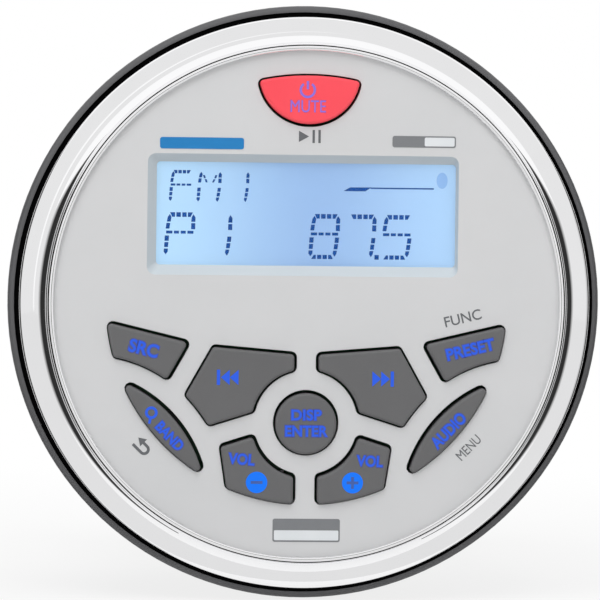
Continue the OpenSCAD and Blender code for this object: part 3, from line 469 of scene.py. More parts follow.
def makeBezel(b):
    steps = b["fine"]
    head = Vector(b["head"])
    tilt = math.atan2(head.y - b["edge"], b["outer"] - head.x)
    ease = b["edgeRound"]
    edge = arcPoints(b["outer"] - ease, b["edge"], ease, 0, 90 - math.degrees(tilt), steps)
    along = head - Vector(edge[-1])
    side = Vector((along.y, -along.x)).normalized()
    band = []
    for i in range(1, steps):
        t = i / steps
        band.append(tuple(Vector(edge[-1]) + t * along + 4 * b["swell"] * t * (1 - t) * side))
    end = math.radians(b["hollowEnd"])
    radius = (head.x - b["hollowFoot"]) / (math.sin(end) - math.sin(tilt))
    hollow = []
    for i in range(steps + 1):
        t = tilt + (end - tilt) * i / steps
        hollow.append((head.x + radius * (math.sin(tilt) - math.sin(t)),
                       head.y + radius * (math.cos(tilt) - math.cos(t))))
    brim = hollow[-1][1]
    outside, inside, floor = b["crease"]
    crease = [(outside, brim + b["creaseLift"]), (outside, floor), (inside, floor)]
    roll = (inside - b["inner"]) / 2
    bead = arcPoints(b["inner"] + roll, b["lip"] - roll, roll, 0, 180, 2 * steps)
    skirt, seat = b["skirt"]
    hidden = [(b["inner"], b["underLip"]), (skirt, b["underLip"]), (skirt, seat), (b["cup"], seat),
              (b["cup"], b["foot"])]
    profile = [(b["outer"], b["foot"])] + edge + band + hollow + crease + bead + hidden
    mesh = turned("bezelRing", profile, b, "chromePlate")
    # the crease beside the bead is painted near-black as shade
    mesh.materials.append(materials["grooveBlack"])
    for face in mesh.polygons:
        at = face.center / mm
        face.material_index = int(inside < math.hypot(at.x, at.z) < outside + b["near"] and -at.y < brim)
    addObject("bezelRing", mesh, "stereo", ("bezel_ring",))


makeBezel(bezel)
print("bezel turned")

# edges of the keys, in mm on the face: a line is a point and a direction with the key on its left,
# a circle is a centre, a radius and 1 where the key is inside it
web = 3.2
corner = 1.05
enterAt, enterHole = (0, -20.2), 5.6
field = ((0, 0), 34.3, 1)
lobe = ((-39.66, -34.78), 23.5, 1)
ringWeb = (enterAt, enterHole + web, -1)
lobeWeb = (lobe[0], lobe[1] + web, -1)
sourceFoot = ((-36.7, -31.75), 22.5, -1)
middle = ((-web / 2, 0), 90)
sourceSide = ((-21.43, -9.99), 60.7)
sourceTop = ((-20.5, -6.12), 166.5)
previousFoot = ((-8.9, -18.67), 17.7)
previousTop = ((-15.7, -6.93), 175.2)
volumeSide = ((-14.25, -28), 278.8)


def ray(degrees):
    return Vector((math.cos(math.radians(degrees)), math.sin(math.radians(degrees))))


def isCircle(edge):
    return len(edge) == 3


def angleOf(v):
    return math.degrees(math.atan2(v[1], v[0]))


def across(line):
    start = Vector(line[0]) - web * ray(line[1] + 90)
    return (tuple(start), line[1] + 180)


def movedIn(edge, d):
    if isCircle(edge):
        return (edge[0], edge[1] - edge[2] * d, edge[2])
    return (tuple(Vector(edge[0]) + d * ray(edge[1] + 90)), edge[1])


def heading(edge, p):
    return edge[2] * ray(angleOf(p - Vector(edge[0])) + 90) if isCircle(edge) else ray(edge[1])


def lineOnCircle(line, c, r):
    along, c = ray(line[1]), Vector(c)
    foot = Vector(line[0]) + (c - Vector(line[0])).dot(along) * along
    half = math.sqrt(r * r - (c - foot).length_squared)
    return [foot - half * along, foot + half * along]


def meets(e, f):
    if isCircle(e) and isCircle(f):
        gap = Vector(f[0]) - Vector(e[0])
        share = (gap.length_squared + e[1] ** 2 - f[1] ** 2) / (2 * gap.length_squared)
        return lineOnCircle((tuple(Vector(e[0]) + gap * share), angleOf(gap) + 90), e[0], e[1])
    if isCircle(e):
        return lineOnCircle(f, e[0], e[1])
    if isCircle(f):
        return lineOnCircle(e, f[0], f[1])
    gap = Vector(f[0]) - Vector(e[0])
    a, b = ray(e[1]), ray(f[1])
    return [Vector(e[0]) + a * (gap.x * b.y - gap.y * b.x) / (a.x * b.y - a.y * b.x)]


def turnsLeft(e, f, p):
    a, b = heading(e, p), heading(f, p)
    return a.x * b.y - a.y * b.x > 0


def outward(edge, c):
    return angleOf(edge[2] * (c - Vector(edge[0]))) if isCircle(edge) else edge[1] - 90


# sizes of a key in mm: spread is the share of its place by which it is moved out from the middle
keyForm = {"gap": 0.4, "round": 0.5, "rollSteps": 6, "spread": 0.008, "spreadTop": 10, "flat": 0.06,
           "smooth": 40, "arcSteps": 20, "cornerSteps": 6, "enterSteps": 72, "postRadius": 1.5,
           "postFoot": 8.8, "postGap": 0.01, "postSteps": 24}


# the outline of a key, inset by d, with corners rounded about fixed centres
def keyOutline(edges, d):
    k = keyForm
    count = len(edges)
    centres = []
    for i in range(count):
        e, f = movedIn(edges[i], corner), movedIn(edges[(i + 1) % count], corner)
        centres.append([p for p in meets(e, f) if turnsLeft(e, f, p)][0])
    points = []
    for i in range(count):
        edge, after, c, cAfter = edges[i], edges[(i + 1) % count], centres[i], centres[(i + 1) % count]
        a = outward(edge, c)
        points += arcPoints(c.x, c.y, corner - d, a, a + (outward(after, c) - a) % 360, k["cornerSteps"])
        if isCircle(after):
            centre = Vector(after[0])
            a, z = angleOf(c - centre), angleOf(cAfter - centre)
            b = a + (z - a) % 360 if after[2] > 0 else a - (a - z) % 360
            points += arcPoints(centre.x, centre.y, after[1] - after[2] * d, a, b, k["arcSteps"])[1:-1]
    return points


keyEdges = {
    "power": [((0, 0), 39.2, 1), ((0, 39.2), 9.05, 1)],
    "source": [sourceFoot, sourceSide, sourceTop, field],
    "previous": [previousFoot, ringWeb, middle, previousTop, across(sourceSide), lobeWeb],
    "band": [field, lobe],
    "volume_down": [field, middle, ringWeb, across(previousFoot), volumeSide],
}
keyPlace = {"power": (0, 34.675), "source": (-27.2, -7.9), "previous": (-11.6, -12.6),
            "band": (-23.89, -20.95), "volume_down": (-8.4, -29.2), "enter": enterAt}
mirrored = {"preset": "source", "next": "previous", "audio": "band", "volume_up": "volume_down"}


# each corner of a ring with the one after it
def ringPairs(row):
    return zip(row, row[1:] + row[:1])


def joinRings(bm, low, high):
    for (a, b), (c, d) in zip(ringPairs(low), ringPairs(high)):
        bm.faces.new((a, b, d, c))


def fillLoops(bm, loops):
    edges = [bm.edges.get(pair) or bm.edges.new(pair) for row in loops for pair in ringPairs(row)]
    bmesh.ops.triangle_fill(bm, use_beauty=True, edges=edges)


def addLoft(bm, rings, closeEnds=True):
    rows = [[bm.verts.new(p) for p in ring] for ring in rings]
    for low, high in zip(rows, rows[1:]):
        joinRings(bm, low, high)
    if closeEnds:
        fillLoops(bm, rows[:1])
        fillLoops(bm, rows[-1:])
    return rows


# a key: upright sides, rolled top edge, a flat top, and the post behind it
def keyMesh(key):
    k = keyForm
    base = mirrored.get(key, key)
    flip = -1 if key in mirrored else 1
    x, y = keyPlace[base]
    dx, dy = x * k["spread"], min(y, k["spreadTop"]) * k["spread"]

    def outline(d):
        if base == "enter":
            return arcPoints(x, y, enterHole - d, 0, 360, k["enterSteps"])[:-1]
        return keyOutline(keyEdges[base], d)

    levels = [(level["keyFoot"], k["gap"])]
    for i in range(k["rollSteps"] + 1):
        t = math.pi / 2 * i / k["rollSteps"]
        drop, inset = k["round"] * (1 - math.sin(t)), k["round"] * (1 - math.cos(t))
        levels.append((level["keyTop"] - drop, k["gap"] + inset))
    levels.append((level["keyTop"], k["gap"] + k["round"] + k["flat"]))
    bm = bmesh.new()
    addLoft(bm, [[(flip * (px + dx), py + dy, z) for px, py in outline(d)] for z, d in levels])
    post = arcPoints(x * flip, y, k["postRadius"], 0, 360, k["postSteps"])[:-1]
    addLoft(bm, [[(px, py, z) for px, py in post] for z in (k["postFoot"], level["keyFoot"] - k["postGap"])])
    return meshOf(bm, key + "KeyTop", "redRubber" if key == "power" else "keyRubber", standMm, k["smooth"])


for key in [*keyPlace, *mirrored]:
    addObject(key.replace("_", "") + "KeyTop", keyMesh(key), key + "_button", (key + "_key",))
print("keys lofted:", len(keyPlace) + len(mirrored))


# lettering and signs: thin slabs on the surface that carries them
def slabMesh(loops, thick):
    bm = bmesh.new()
    ends = [[[bm.verts.new((x, y, z)) for x, y in loop] for loop in loops] for z in (0, thick)]
    for rows in ends:
        fillLoops(bm, rows)
    for low, high in zip(*ends):
        joinRings(bm, low, high)
    return bm


# from a drawing in mm to its place on the face
def onFace(at, out, turn):
    return standMm @ Matrix.Translation((*at, out)) @ Matrix.Rotation(math.radians(turn), 4, "Z")


def addSlab(name, loops, out, thick, finish, body, at=(0, 0), turn=0):
    addObject(name, meshOf(slabMesh(loops, thick), name, finish, onFace(at, out, turn)), body)


# words set in the built-in face, made a mesh, then fitted to a width, a height and a thickness
def wordMesh(name, words, size, bold):
    curve = bpy.data.curves.new(name, "FONT")
    curve.body = words
    curve.align_x, curve.align_y = "CENTER", "CENTER"
    curve.resolution_u = 4
    curve.offset = bold
    curve.extrude = 0.5
    mesh = settled(inScene(name + "Draft", curve), name)
    low = [min(v.co[i] for v in mesh.vertices) for i in range(3)]
    high = [max(v.co[i] for v in mesh.vertices) for i in range(3)]
    fit = [side / (b - a) for side, a, b in zip(size, low, high)]
    mesh.transform(Matrix.Diagonal((*fit, 1)) @ Matrix.Translation(
        (-(low[0] + high[0]) / 2, -(low[1] + high[1]) / 2, -low[2])))
    return mesh


def addWords(name, words, at, size, turn, out, thick, finish, body, bold):
    swell = 0.0 if "M" in words else bold  # the corners of an M would close
    mesh = wordMesh(name, words, (*size, thick), swell)
    mesh.transform(onFace(at, out, turn))
    mesh.materials.clear()
    mesh.materials.append(materials[finish])
    addObject(name, mesh, body)


def disc(r, steps=40):
    return arcPoints(0, 0, r, 0, 360, steps)[:-1]


def bar(x0, y0, x1, y1):
    return [(x0, y0), (x1, y0), (x1, y1), (x0, y1)]


def arcBand(r, wide, start, end, steps=28):
    return arcPoints(0, 0, r + wide / 2, start, end, steps) + arcPoints(0, 0, r - wide / 2, end, start, steps)


# words on the keys: text, place, size, turn
legends = {
    "source": [("SRC", (-27.74, -7.72), (5.0, 2.2), -14)],
    "preset": [("PRESET", (27.92, -7.41), (8.3, 2.0), 14)],
    "audio": [("AUDIO", (24.34, -21.28), (7.2, 2.0), 46)],
    "band": [("BAND", (-23.15, -22.6), (5.6, 1.75), -46)],
    "volume_down": [("VOL", (-10.93, -26.43), (4.4, 1.85), -4)],
    "volume_up": [("VOL", (10.95, -26.62), (4.4, 1.85), -2)],
    "enter": [("DISP", (0.06, -18.83), (5.1, 1.8), 0), ("ENTER", (0.09, -21.57), (7.2, 1.8), 0)],
    "power": [("MUTE", (-0.28, 33.64), (5.95, 2.0), 0)],
}
# light spreads in the rubber round each letter: wider and fainter copies lie under it
legendForm = {"lift": 0.004, "layer": 0.012, "thick": 0.012}
legendLayers = {"Fade": (0.4, 0.085), "Halo": (0.2, 0.05), "": (0.0, 0.015)}  # growth in mm, boldness
blueGlow = {"Fade": "legendFade", "Halo": "legendHalo", "": "legendBlue"}
violetGlow = {"Halo": "violetHalo", "": "legendViolet"}


def makeLegends(f):
    for key, rows in legends.items():
        glow = violetGlow if key == "power" else blueGlow
        for i, (words, at, size, turn) in enumerate(rows):
            for j, (layer, (grow, bold)) in enumerate(legendLayers.items()):
                if layer in glow:
                    name = f"{key.replace('_', '')}Legend{i + 1}{layer}"
                    out = level["keyTop"] + f["lift"] + j * f["layer"]
                    grown = [side + grow for side in size]
                    addWords(name, words, at, grown, turn, out, f["thick"], glow[layer], key + "_button",
                             bold)


makeLegends(legendForm)


# an upright cross of four arms, for the plus sign and the screws
def crossLoop(arm, half):
    quarter = [(half, half), (half, arm), (-half, arm)]
    loop = []
    for i in range(4):
        turn = Matrix.Rotation(math.pi / 2 * i, 2)
        loop += [tuple(turn @ Vector(p)) for p in quarter]
    return loop


# signs on the keys: key, loops, place, turn, finish
wedge = [(0.78, 1.3), (-0.72, 0.0), (0.78, -1.3)]
skipBack = [[(x + shift, y) for x, y in wedge] for shift in (-0.35, 1.15)] + [bar(-1.75, -1.3, -1.2, 1.3)]
skipOn = [[(-x, y) for x, y in loop] for loop in skipBack]
minusAt, plusAt = (-8.31, -30.37), (8.05, -30.34)
signs = {
    "previousSign": ("previous", skipBack, (-13.52, -12.52), 0, "legendBlue"),
    "nextSign": ("next", skipOn, (13.15, -12.58), 0, "legendBlue"),
    "bandSign": ("band", [arcBand(0.84, 0.46, 0, 359.5, 36), bar(1.08, -0.22, 1.9, 0.22)],
                 (-26.33, -18.64), -100, "legendBlue"),
    "powerSign": ("power", [arcBand(1.2, 0.4, 125, 415), bar(-0.2, 0.1, 0.2, 1.5)], (-0.39, 36.42), 0,
                  "legendViolet"),
    "minusDisc": ("volume_down", [disc(1.83)], minusAt, 0, "discBlue"),
    "plusDisc": ("volume_up", [disc(1.8)], plusAt, 0, "discBlue"),
}
discSigns = {
    "minusSign": ("volume_down", [bar(-1.0, -0.24, 1.0, 0.24)], minusAt, 0, "discInk"),
    "plusSign": ("volume_up", [crossLoop(1.0, 0.24)], plusAt, 0, "discInk"),
}


def makeSigns(f):
    top = level["keyTop"] + f["lift"] + 2 * f["layer"]
    for rows, out in ((signs, top), (discSigns, top + f["layer"])):
        for name, (key, loops, at, turn, finish) in rows.items():
            addSlab(name, loops, out, f["thick"], finish, key + "_button", at, turn)


makeSigns(legendForm)
print("legends and signs set")


def roundedBar(x0, y0, x1, y1, r, steps=6):
    points = []
    for i, (x, y) in enumerate(bar(x0 + r, y0 + r, x1 - r, y1 - r)):
        points += arcPoints(x, y, r, 180 + 90 * i, 270 + 90 * i, steps)
    return points


# a bent arrow, pointing along x before it is turned
returnBend = {"outer": 0.97, "inner": 0.48, "tail": 2.0, "head": (0.86, 2.14), "headHalf": 0.84, "steps": 16,
              "at": (-27.47, -24.96), "turn": 135}


def bentArrow(b):
    middle = -(b["outer"] + b["inner"]) / 2
    back, tip = b["head"]
    return [(b["tail"], b["outer"])] + arcPoints(0, 0, b["outer"], 90, 270, b["steps"]) + [
        (back, -b["outer"]), (back, middle - b["headHalf"]), (tip, middle), (back, middle + b["headHalf"]),
        (back, -b["inner"])] + arcPoints(0, 0, b["inner"], 270, 90, b["steps"]) + [(b["tail"], b["inner"])]


# prints and bare plates on the face: loops, finish, thickness
printForm = {"lift": 0.004, "thick": 0.03, "bold": 0.008}
facePrints = {
    "playSign": ([[(-1.75, 29.5), (-1.75, 27.58), (-0.02, 28.54)]], "wordPrint", printForm["thick"]),
    "pauseSign": ([bar(0.56, 27.43, 0.97, 29.65), bar(1.56, 27.44, 1.97, 29.66)], "wordPrint",
                  printForm["thick"]),
    "leftBadge": ([roundedBar(-25.33, 26.21, -11.08, 28.16, 0.4)], "bluePrint", 0.06),
    "rightBadge": ([roundedBar(14.21, 26.89, 25.06, 28.83, 0.4)], "greyPrint", 0.05),
    "rightBadgeHalf": ([roundedBar(19.72, 27.11, 24.83, 28.61, 0.25)], "palePrint", 0.08),
    "lowerBadge": ([roundedBar(-5.45, -40.56, 6.05, -36.61, 0.35)], "greyPrint", 0.05),
    "lowerBadgeHalf": ([roundedBar(-5.21, -40.29, 5.81, -38.58, 0.2)], "palePrint", 0.08),
}
faceWords = {
    "funcPrint": ("FUNC", (26.65, -2.09), (6.4, 1.8), 14),
    "menuPrint": ("MENU", (27.94, -24.23), (4.9, 1.65), 46),
}


def makeFacePrints(f):
    out = level["face"] + f["lift"]
    for name, (loops, finish, thick) in facePrints.items():
        addSlab(name, loops, out, thick, finish, "stereo")
    bend = returnBend
    addSlab("returnSign", [bentArrow(bend)], out, f["thick"], "wordPrint", "stereo", bend["at"], bend["turn"])
    for name, (words, at, size, turn) in faceWords.items():
        addWords(name, words, at, size, turn, out, f["thick"], "wordPrint", "stereo", f["bold"])


makeFacePrints(printForm)
print("face printed")

# where a node takes a second finish: painted shade and painted display reflection on the window's sloping
# frame, and painted near-black shade in the groove round the bezel
windowSlope = {"x": (-28.35, 26.65), "z": (3.8, 26.4), "y": (-13.06, -11.4), "lean": (-0.97, -0.1)}
groove = {"radius": (48.4, 49.95), "y": (-5.62, -4.7)}


def within(value, span):
    return span[0] < value < span[1]


# faces of the window's sloping frame, which take painted shade and painted reflection of the display
def isShadedWindowSlope(at, normal):
    w = windowSlope
    placed = within(at.x, w["x"]) and within(at.z, w["z"]) and within(at.y, w["y"])
    return placed and within(normal.y, w["lean"])


# faces of the groove round the bezel, which are painted near-black as shade
def isShadedGroove(at, normal):
    return within(math.hypot(at.x, at.z), groove["radius"]) and within(at.y, groove["y"])


# circles that bound the key openings, on both halves of the face
def openingArcs():
    arcs = {(enterAt, enterHole)}
    for edges in keyEdges.values():
        for edge in filter(isCircle, edges):
            (x, y), radius, _ = edge
            arcs |= {((x, y), radius), ((-x, y), radius)}
    return sorted(arcs)


# the other visible nodes: name, finish, body, slot, easing of the edges in mm, second finish, finer arcs
eased = {
    # the window's sloping frame takes painted shade and painted display reflection
    "fascia": ("facePlate", "satinSilver", "stereo", "satin_silver", 0.14, ("windowTrim", isShadedWindowSlope),
               openingArcs()),
    # the groove round the bezel takes painted shade
    "front_frame": ("frontFrame", "mouldedBlack", "stereo", "black_plastic", 0.1, ("grooveBlack", isShadedGroove)),
    "gasket": ("panelGasket", "sealRubber", "stereo", "black_rubber", 0.15),
    "barrel": ("barrelCan", "canBlack", "stereo", "barrel_plastic", 0.2),
    "rear_cover": ("rearCover", "castBlack", "stereo", "cast_cover", 0.2),
    "power_grommet": ("powerGrommet", "sealRubber", "stereo", "black_rubber", 0.2),
    "signal_grommet": ("signalGrommet", "sealRubber", "stereo", "black_rubber", 0.2),
    "clamp_bracket": ("clampStrap", "stripSteel", "clamp", "strap_steel", 0.2),
    "stud_washers": ("studWashers", "zincSteel", "clamp", "zinc_steel", 0.12),
    "left_nut": ("leftNut", "turnedBrass", "left_thumb_nut", "brass", 0.12),
    "right_nut": ("rightNut", "turnedBrass", "right_thumb_nut", "brass", 0.12),
}
for node, row in eased.items():
    easedCopy(node, *row)
print("nodes eased:", len(eased))


# a value that each point carries
def perPoint(label, dataType):
    return ("GeometryNodeInputNamedAttribute", {"data_type": dataType, "Name": label})


# a tree sets pieces of a collection on points: which one, its turn and its size come from each point
setTree = shapeTree("setOnPoints", [("Points", "Geometry", None), ("Pieces", "Collection", None)], {
    "pieces": ("GeometryNodeCollectionInfo", {"Separate Children": True, "Reset Children": True}),
    "scatter": ("GeometryNodeInstanceOnPoints", {"Pick Instance": True}),
    "spin": ("ShaderNodeCombineXYZ", {}),
    "kind": perPoint("kind", "INT"),
    "turn": perPoint("turn", "FLOAT"),
    "size": perPoint("size", "FLOAT_VECTOR"),
}, ["given.Points > scatter.Points", "given.Pieces > pieces.Collection",
    "pieces.Instances > scatter.Instance", "kind.Attribute > scatter.Instance Index",
    "turn.Attribute > spin.Z", "spin.0 > scatter.Rotation", "size.Attribute > scatter.Scale",
    "scatter.Instances > real.0"])


# meshes set on rows of (kind, place, turn, size), in mm, joined into one mesh that stands up
def setPieces(name, meshes, rows, finish, degrees=35):
    shelf = bpy.data.collections.new(name + "Pieces")
    bpy.context.scene.collection.children.link(shelf)
    for i, mesh in enumerate(meshes):
        shelf.objects.link(bpy.data.objects.new(f"{name}Piece{i:02d}", mesh))
    kinds, places, turns, sizes = zip(*rows)
    points = bpy.data.meshes.new(name + "Points")
    points.from_pydata(places, [], [])
    points.attributes.new("kind", "INT", "POINT").data.foreach_set("value", kinds)
    points.attributes.new("turn", "FLOAT", "POINT").data.foreach_set("value", turns)
    sides = [side for size in sizes for side in size]
    points.attributes.new("size", "FLOAT_VECTOR", "POINT").data.foreach_set("vector", sides)
    mesh = shaped(name, points, setTree, finish, {"Pieces": shelf})
    for item in list(shelf.objects):
        bpy.data.objects.remove(item)
    bpy.data.collections.remove(shelf)
    mesh.transform(standMm)
    smoothByAngle(mesh, degrees)
    return mesh


asDrawn = (1, 1, 1)  # the size of a piece that is set as it was made

# pan-head screws with a cross recess, driven in from behind
screws = {
    "coverScrews": {"node": "cover_screws", "shaft": 1.5, "long": 9.8, "head": 2.8, "high": 1.6,
                    "seat": -56.7, "at": [tuple(32.2 * ray(a)) for a in (65, 115, 215, 325)],
                    "turns": (20, 75, 48, 9)},
    "sinkScrews": {"node": "heat_sink_screws", "shaft": 1.25, "long": 5.2, "head": 1.86, "high": 1.4,
                   "seat": -61.5, "at": [(x, y) for x in (-15.56, 15.56) for y in (20.01, -5.99)],
                   "turns": (33, 64, 12, 81)},
}
screwForm = {"ease": 0.3, "easeSteps": 5, "recessEdge": 0.8, "recessHalf": 0.25, "recessDepth": 0.7,
             "steps": 40}


def screwMesh(s, f):
    bm = bmesh.new()
    roll = arcPoints(s["head"] - f["ease"], f["ease"] - s["high"], f["ease"], 0, -90, f["easeSteps"])
    profile = [(s["shaft"], s["long"]), (s["shaft"], 0), (s["head"], 0)] + roll
    rows = addLoft(bm, [[(x, y, z) for x, y in disc(r, f["steps"])] for r, z in profile], False)
    cross = crossLoop(s["head"] - f["recessEdge"], f["recessHalf"])
    ends = (-s["high"], f["recessDepth"] - s["high"])
    pit = addLoft(bm, [[(x, y, z) for x, y in cross] for z in ends], False)
    for loops in (rows[:1], [rows[-1], pit[0]], pit[1:]):
        fillLoops(bm, loops)
    return meshOf(bm, s["node"] + "Shape", "zincSteel")


for name, s in screws.items():
    rows = [(0, (*at, s["seat"]), math.radians(turn), asDrawn) for at, turn in zip(s["at"], s["turns"])]
    mesh = setPieces(name, [screwMesh(s, screwForm)], rows, "zincSteel")
    addObject(name, mesh, "stereo", (s["node"],))
print("screws set:", len(screws))

# heat sink: tapered fins in a row on a plate
sink = {"wide": 52.0, "tall": 34.0, "y": 7.01, "front": -58.5, "root": -61.5, "tip": -70.0, "count": 9,
        "rootWide": 2.2, "tipWide": 1.4, "ease": 0.18, "sunk": 0.4, "flat": 1, "smooth": 40}


def easedPrism(outline, name, finish, k):
    bm = bmesh.new()
    addLoft(bm, [[(x, y, z) for x, z in outline] for y in (-k["tall"] / 2, k["tall"] / 2)])
    bmesh.ops.recalc_face_normals(bm, faces=bm.faces)
    bmesh.ops.dissolve_limit(bm, angle_limit=math.radians(k["flat"]), verts=bm.verts, edges=bm.edges)
    bmesh.ops.bevel(bm, geom=bm.edges[:], offset=k["ease"], segments=2, profile=0.5, affect="EDGES")
    return meshOf(bm, name, finish, degrees=k["smooth"])


def makeSink(k):
    half, reach = k["wide"] / 2, k["root"] - k["tip"]
    root, tip = k["rootWide"] / 2, k["tipWide"] / 2
    plate = bar(-half, 0, half, k["front"] - k["root"])
    fin = [(-root, k["sunk"]), (-tip, -reach), (tip, -reach), (root, k["sunk"])]
    meshes = [easedPrism(plate, "sinkPlate", "anodisedBlack", k),
              easedPrism(fin, "sinkFin", "anodisedBlack", k)]
    first = root - half
    rows = [(0, (0, k["y"], k["root"]), 0, asDrawn)]
    for i in range(k["count"]):
        rows.append((1, (first - 2 * first * i / (k["count"] - 1), k["y"], k["root"]), 0, asDrawn))
    mesh = setPieces("heatSink", meshes, rows, "anodisedBlack", k["smooth"])
    addObject("heatSink", mesh, "stereo", ("heat_sink",))


makeSink(sink)

# studs: a thread wound on a core
studs = {"x": 31.0, "end": -95.05, "top": -57.0, "lead": 0.6, "radius": 2.5, "pitch": 0.8, "depth": 0.4,
         "steps": 28, "merge": 1e-4, "smooth": 30}
threadTree = shapeTree("threadedStuds", [
    ("Places", "Geometry", None), ("Length", "Float", 30.0), ("Lead", "Float", 0.6), ("Pitch", "Float", 0.8),
    ("Core Radius", "Float", 2.1), ("Depth", "Float", 0.4), ("Steps", "Int", 28)], {
    "wound": ("ShaderNodeMath", {"operation": "SUBTRACT"}),
    "turns": ("ShaderNodeMath", {"operation": "DIVIDE"}),
    "halfway": ("ShaderNodeMath", {"operation": "MULTIPLY", 1: 0.5}),
    "spiral": ("GeometryNodeCurveSpiral", {}),
    "upright": ("GeometryNodeSetCurveNormal", {"mode": "Z_UP"}),
    "ridge": ("GeometryNodeCurvePrimitiveCircle", {"Resolution": 4}),
    "sweep": ("GeometryNodeCurveToMesh", {"Fill Caps": True}),
    "core": ("GeometryNodeMeshCylinder", {}),
    "threadLift": ("ShaderNodeCombineXYZ", {}),
    "threadMove": ("GeometryNodeTransform", {}),
    "coreLift": ("ShaderNodeCombineXYZ", {}),
    "coreMove": ("GeometryNodeTransform", {}),
    "join": ("GeometryNodeJoinGeometry", {}),
    "scatter": ("GeometryNodeInstanceOnPoints", {}),
}, ["given.Length > wound.0", "given.Lead > wound.1", "wound.0 > turns.0", "given.Pitch > turns.1",
    "given.Steps > spiral.Resolution", "turns.0 > spiral.Rotations", "wound.0 > spiral.Height",
    "given.Core Radius > spiral.Start Radius", "given.Core Radius > spiral.End Radius",
    "spiral.Curve > upright.Curve", "given.Depth > ridge.Radius", "upright.Curve > sweep.Curve",
    "ridge.Curve > sweep.Profile Curve", "given.Steps > core.Vertices", "given.Core Radius > core.Radius",
    "given.Length > core.Depth", "given.Lead > threadLift.Z", "sweep.Mesh > threadMove.Geometry",
    "threadLift.0 > threadMove.Translation", "given.Length > halfway.0", "halfway.0 > coreLift.Z",
    "core.Mesh > coreMove.Geometry", "coreLift.0 > coreMove.Translation", "threadMove.Geometry > join.0",
    "coreMove.Geometry > join.0", "given.Places > scatter.Points", "join.0 > scatter.Instance",
    "scatter.Instances > real.0"])


def makeStuds(k):
    places = bpy.data.meshes.new("studPlaces")
    places.from_pydata([(-k["x"], 0, k["end"]), (k["x"], 0, k["end"])], [], [])
    bm = bmesh.new()
    bm.from_mesh(shaped("studThread", places, threadTree, "zincSteel", {
        "Length": k["top"] - k["end"], "Lead": k["lead"], "Pitch": k["pitch"], "Depth": k["depth"],
        "Core Radius": k["radius"] - k["depth"], "Steps": k["steps"]}))
    bmesh.ops.remove_doubles(bm, verts=bm.verts, dist=k["merge"])
    mesh = meshOf(bm, "mountingStuds", "zincSteel", standMm, k["smooth"])
    addObject("mountingStuds", mesh, "stereo", ("mounting_studs",))


makeStuds(studs)
print("heat sink and studs made")

# display strokes in a cell one wide and one high: corners of each bar
barAt = {"a": (0.894, 0.995, (0.374, 0.531), (0.58, 0.731)),
         "d": (0.005, 0.097, (0.252, 0.399), (0.441, 0.591)),
         "g": (0.525, 0.588, (0.024, 0.241), (0.294, 0.469), (0.531, 0.706), (0.766, 0.976))}
strokeParts = {
    "a": [[(0.154, 0.995), (0.329, 0.995), (0.329, 0.894), (0.224, 0.894)],
          [(0.776, 0.995), (0.951, 0.995), (0.871, 0.894), (0.776, 0.894)]],
    "b": [[(0.969, 0.955), (1.045, 0.882), (1.038, 0.787), (0.895, 0.787), (0.909, 0.889)],
          [(0.895, 0.758), (1.035, 0.758), (1.035, 0.622), (0.892, 0.627)]],
    "c": [[(0.871, 0.48), (1.01, 0.48), (0.993, 0.362), (0.853, 0.362)],
          [(0.843, 0.335), (0.979, 0.335), (0.958, 0.222), (0.822, 0.222)],
          [(0.811, 0.192), (0.941, 0.192), (0.92, 0.124), (0.86, 0.057), (0.79, 0.124)]],
    "d": [[(0.042, 0.005), (0.136, 0.097), (0.206, 0.097), (0.206, 0.005)],
          [(0.636, 0.097), (0.731, 0.097), (0.801, 0.005), (0.636, 0.005)]],
    "e": [[(-0.021, 0.48), (0.126, 0.48), (0.115, 0.362), (-0.031, 0.362)],
          [(-0.031, 0.335), (0.108, 0.335), (0.094, 0.226), (-0.045, 0.226)],
          [(-0.049, 0.192), (0.091, 0.192), (0.084, 0.124), (0.014, 0.063), (-0.056, 0.124)]],
    "f": [[(0.147, 0.955), (0.206, 0.889), (0.178, 0.787), (0.042, 0.787), (0.073, 0.889)],
          [(0.031, 0.758), (0.164, 0.758), (0.136, 0.633), (0.003, 0.633)]],
    "g": [],
    "m": [[(0.215, 0.86), (0.3, 0.86), (0.345, 0.765), (0.26, 0.765)],
          [(0.295, 0.735), (0.38, 0.735), (0.425, 0.64), (0.34, 0.64)]],
    "n": [[(0.76, 0.86), (0.845, 0.86), (0.8, 0.765), (0.715, 0.765)],
          [(0.68, 0.735), (0.765, 0.735), (0.705, 0.64), (0.62, 0.64)]],
    "block": [bar(0, 0, 1, 1)],
    "marker": [[(0, 0), (0.78, 0.0), (1, 1), (0.24, 0.95)]],
}
for part, (low, high, *spans) in barAt.items():
    strokeParts[part] += [bar(left, low, right, high) for left, right in spans]
# which strokes are lit, and the cell they fill, in mm on the panel
figures = [
    ("a f g e", -23.45, 16.94, -19.79, 22.61), ("f e b c m n", -18.73, 16.89, -14.84, 22.57),
    ("b c", -13.76, 16.91, -10.1, 22.59), ("a b f g e", -24.17, 7.69, -19.28, 15.42),
    ("b c", -17.86, 7.62, -12.97, 15.35), ("a b c d e f g", 0.54, 7.63, 5.45, 15.39),
    ("a b c", 6.77, 7.63, 11.68, 15.39), ("a f g c d", 12.91, 7.66, 17.86, 15.36),
    ("block", 11.6, 7.66, 12.33, 8.45), ("marker", 6.15, 19.32, 10.95, 19.99),
    ("block", 10.78, 19.74, 21.64, 19.98),
]
displayInk = {"out": 10.16, "thick": 0.02, "oval": (23.05, 21.28, 0.95, 1.38)}


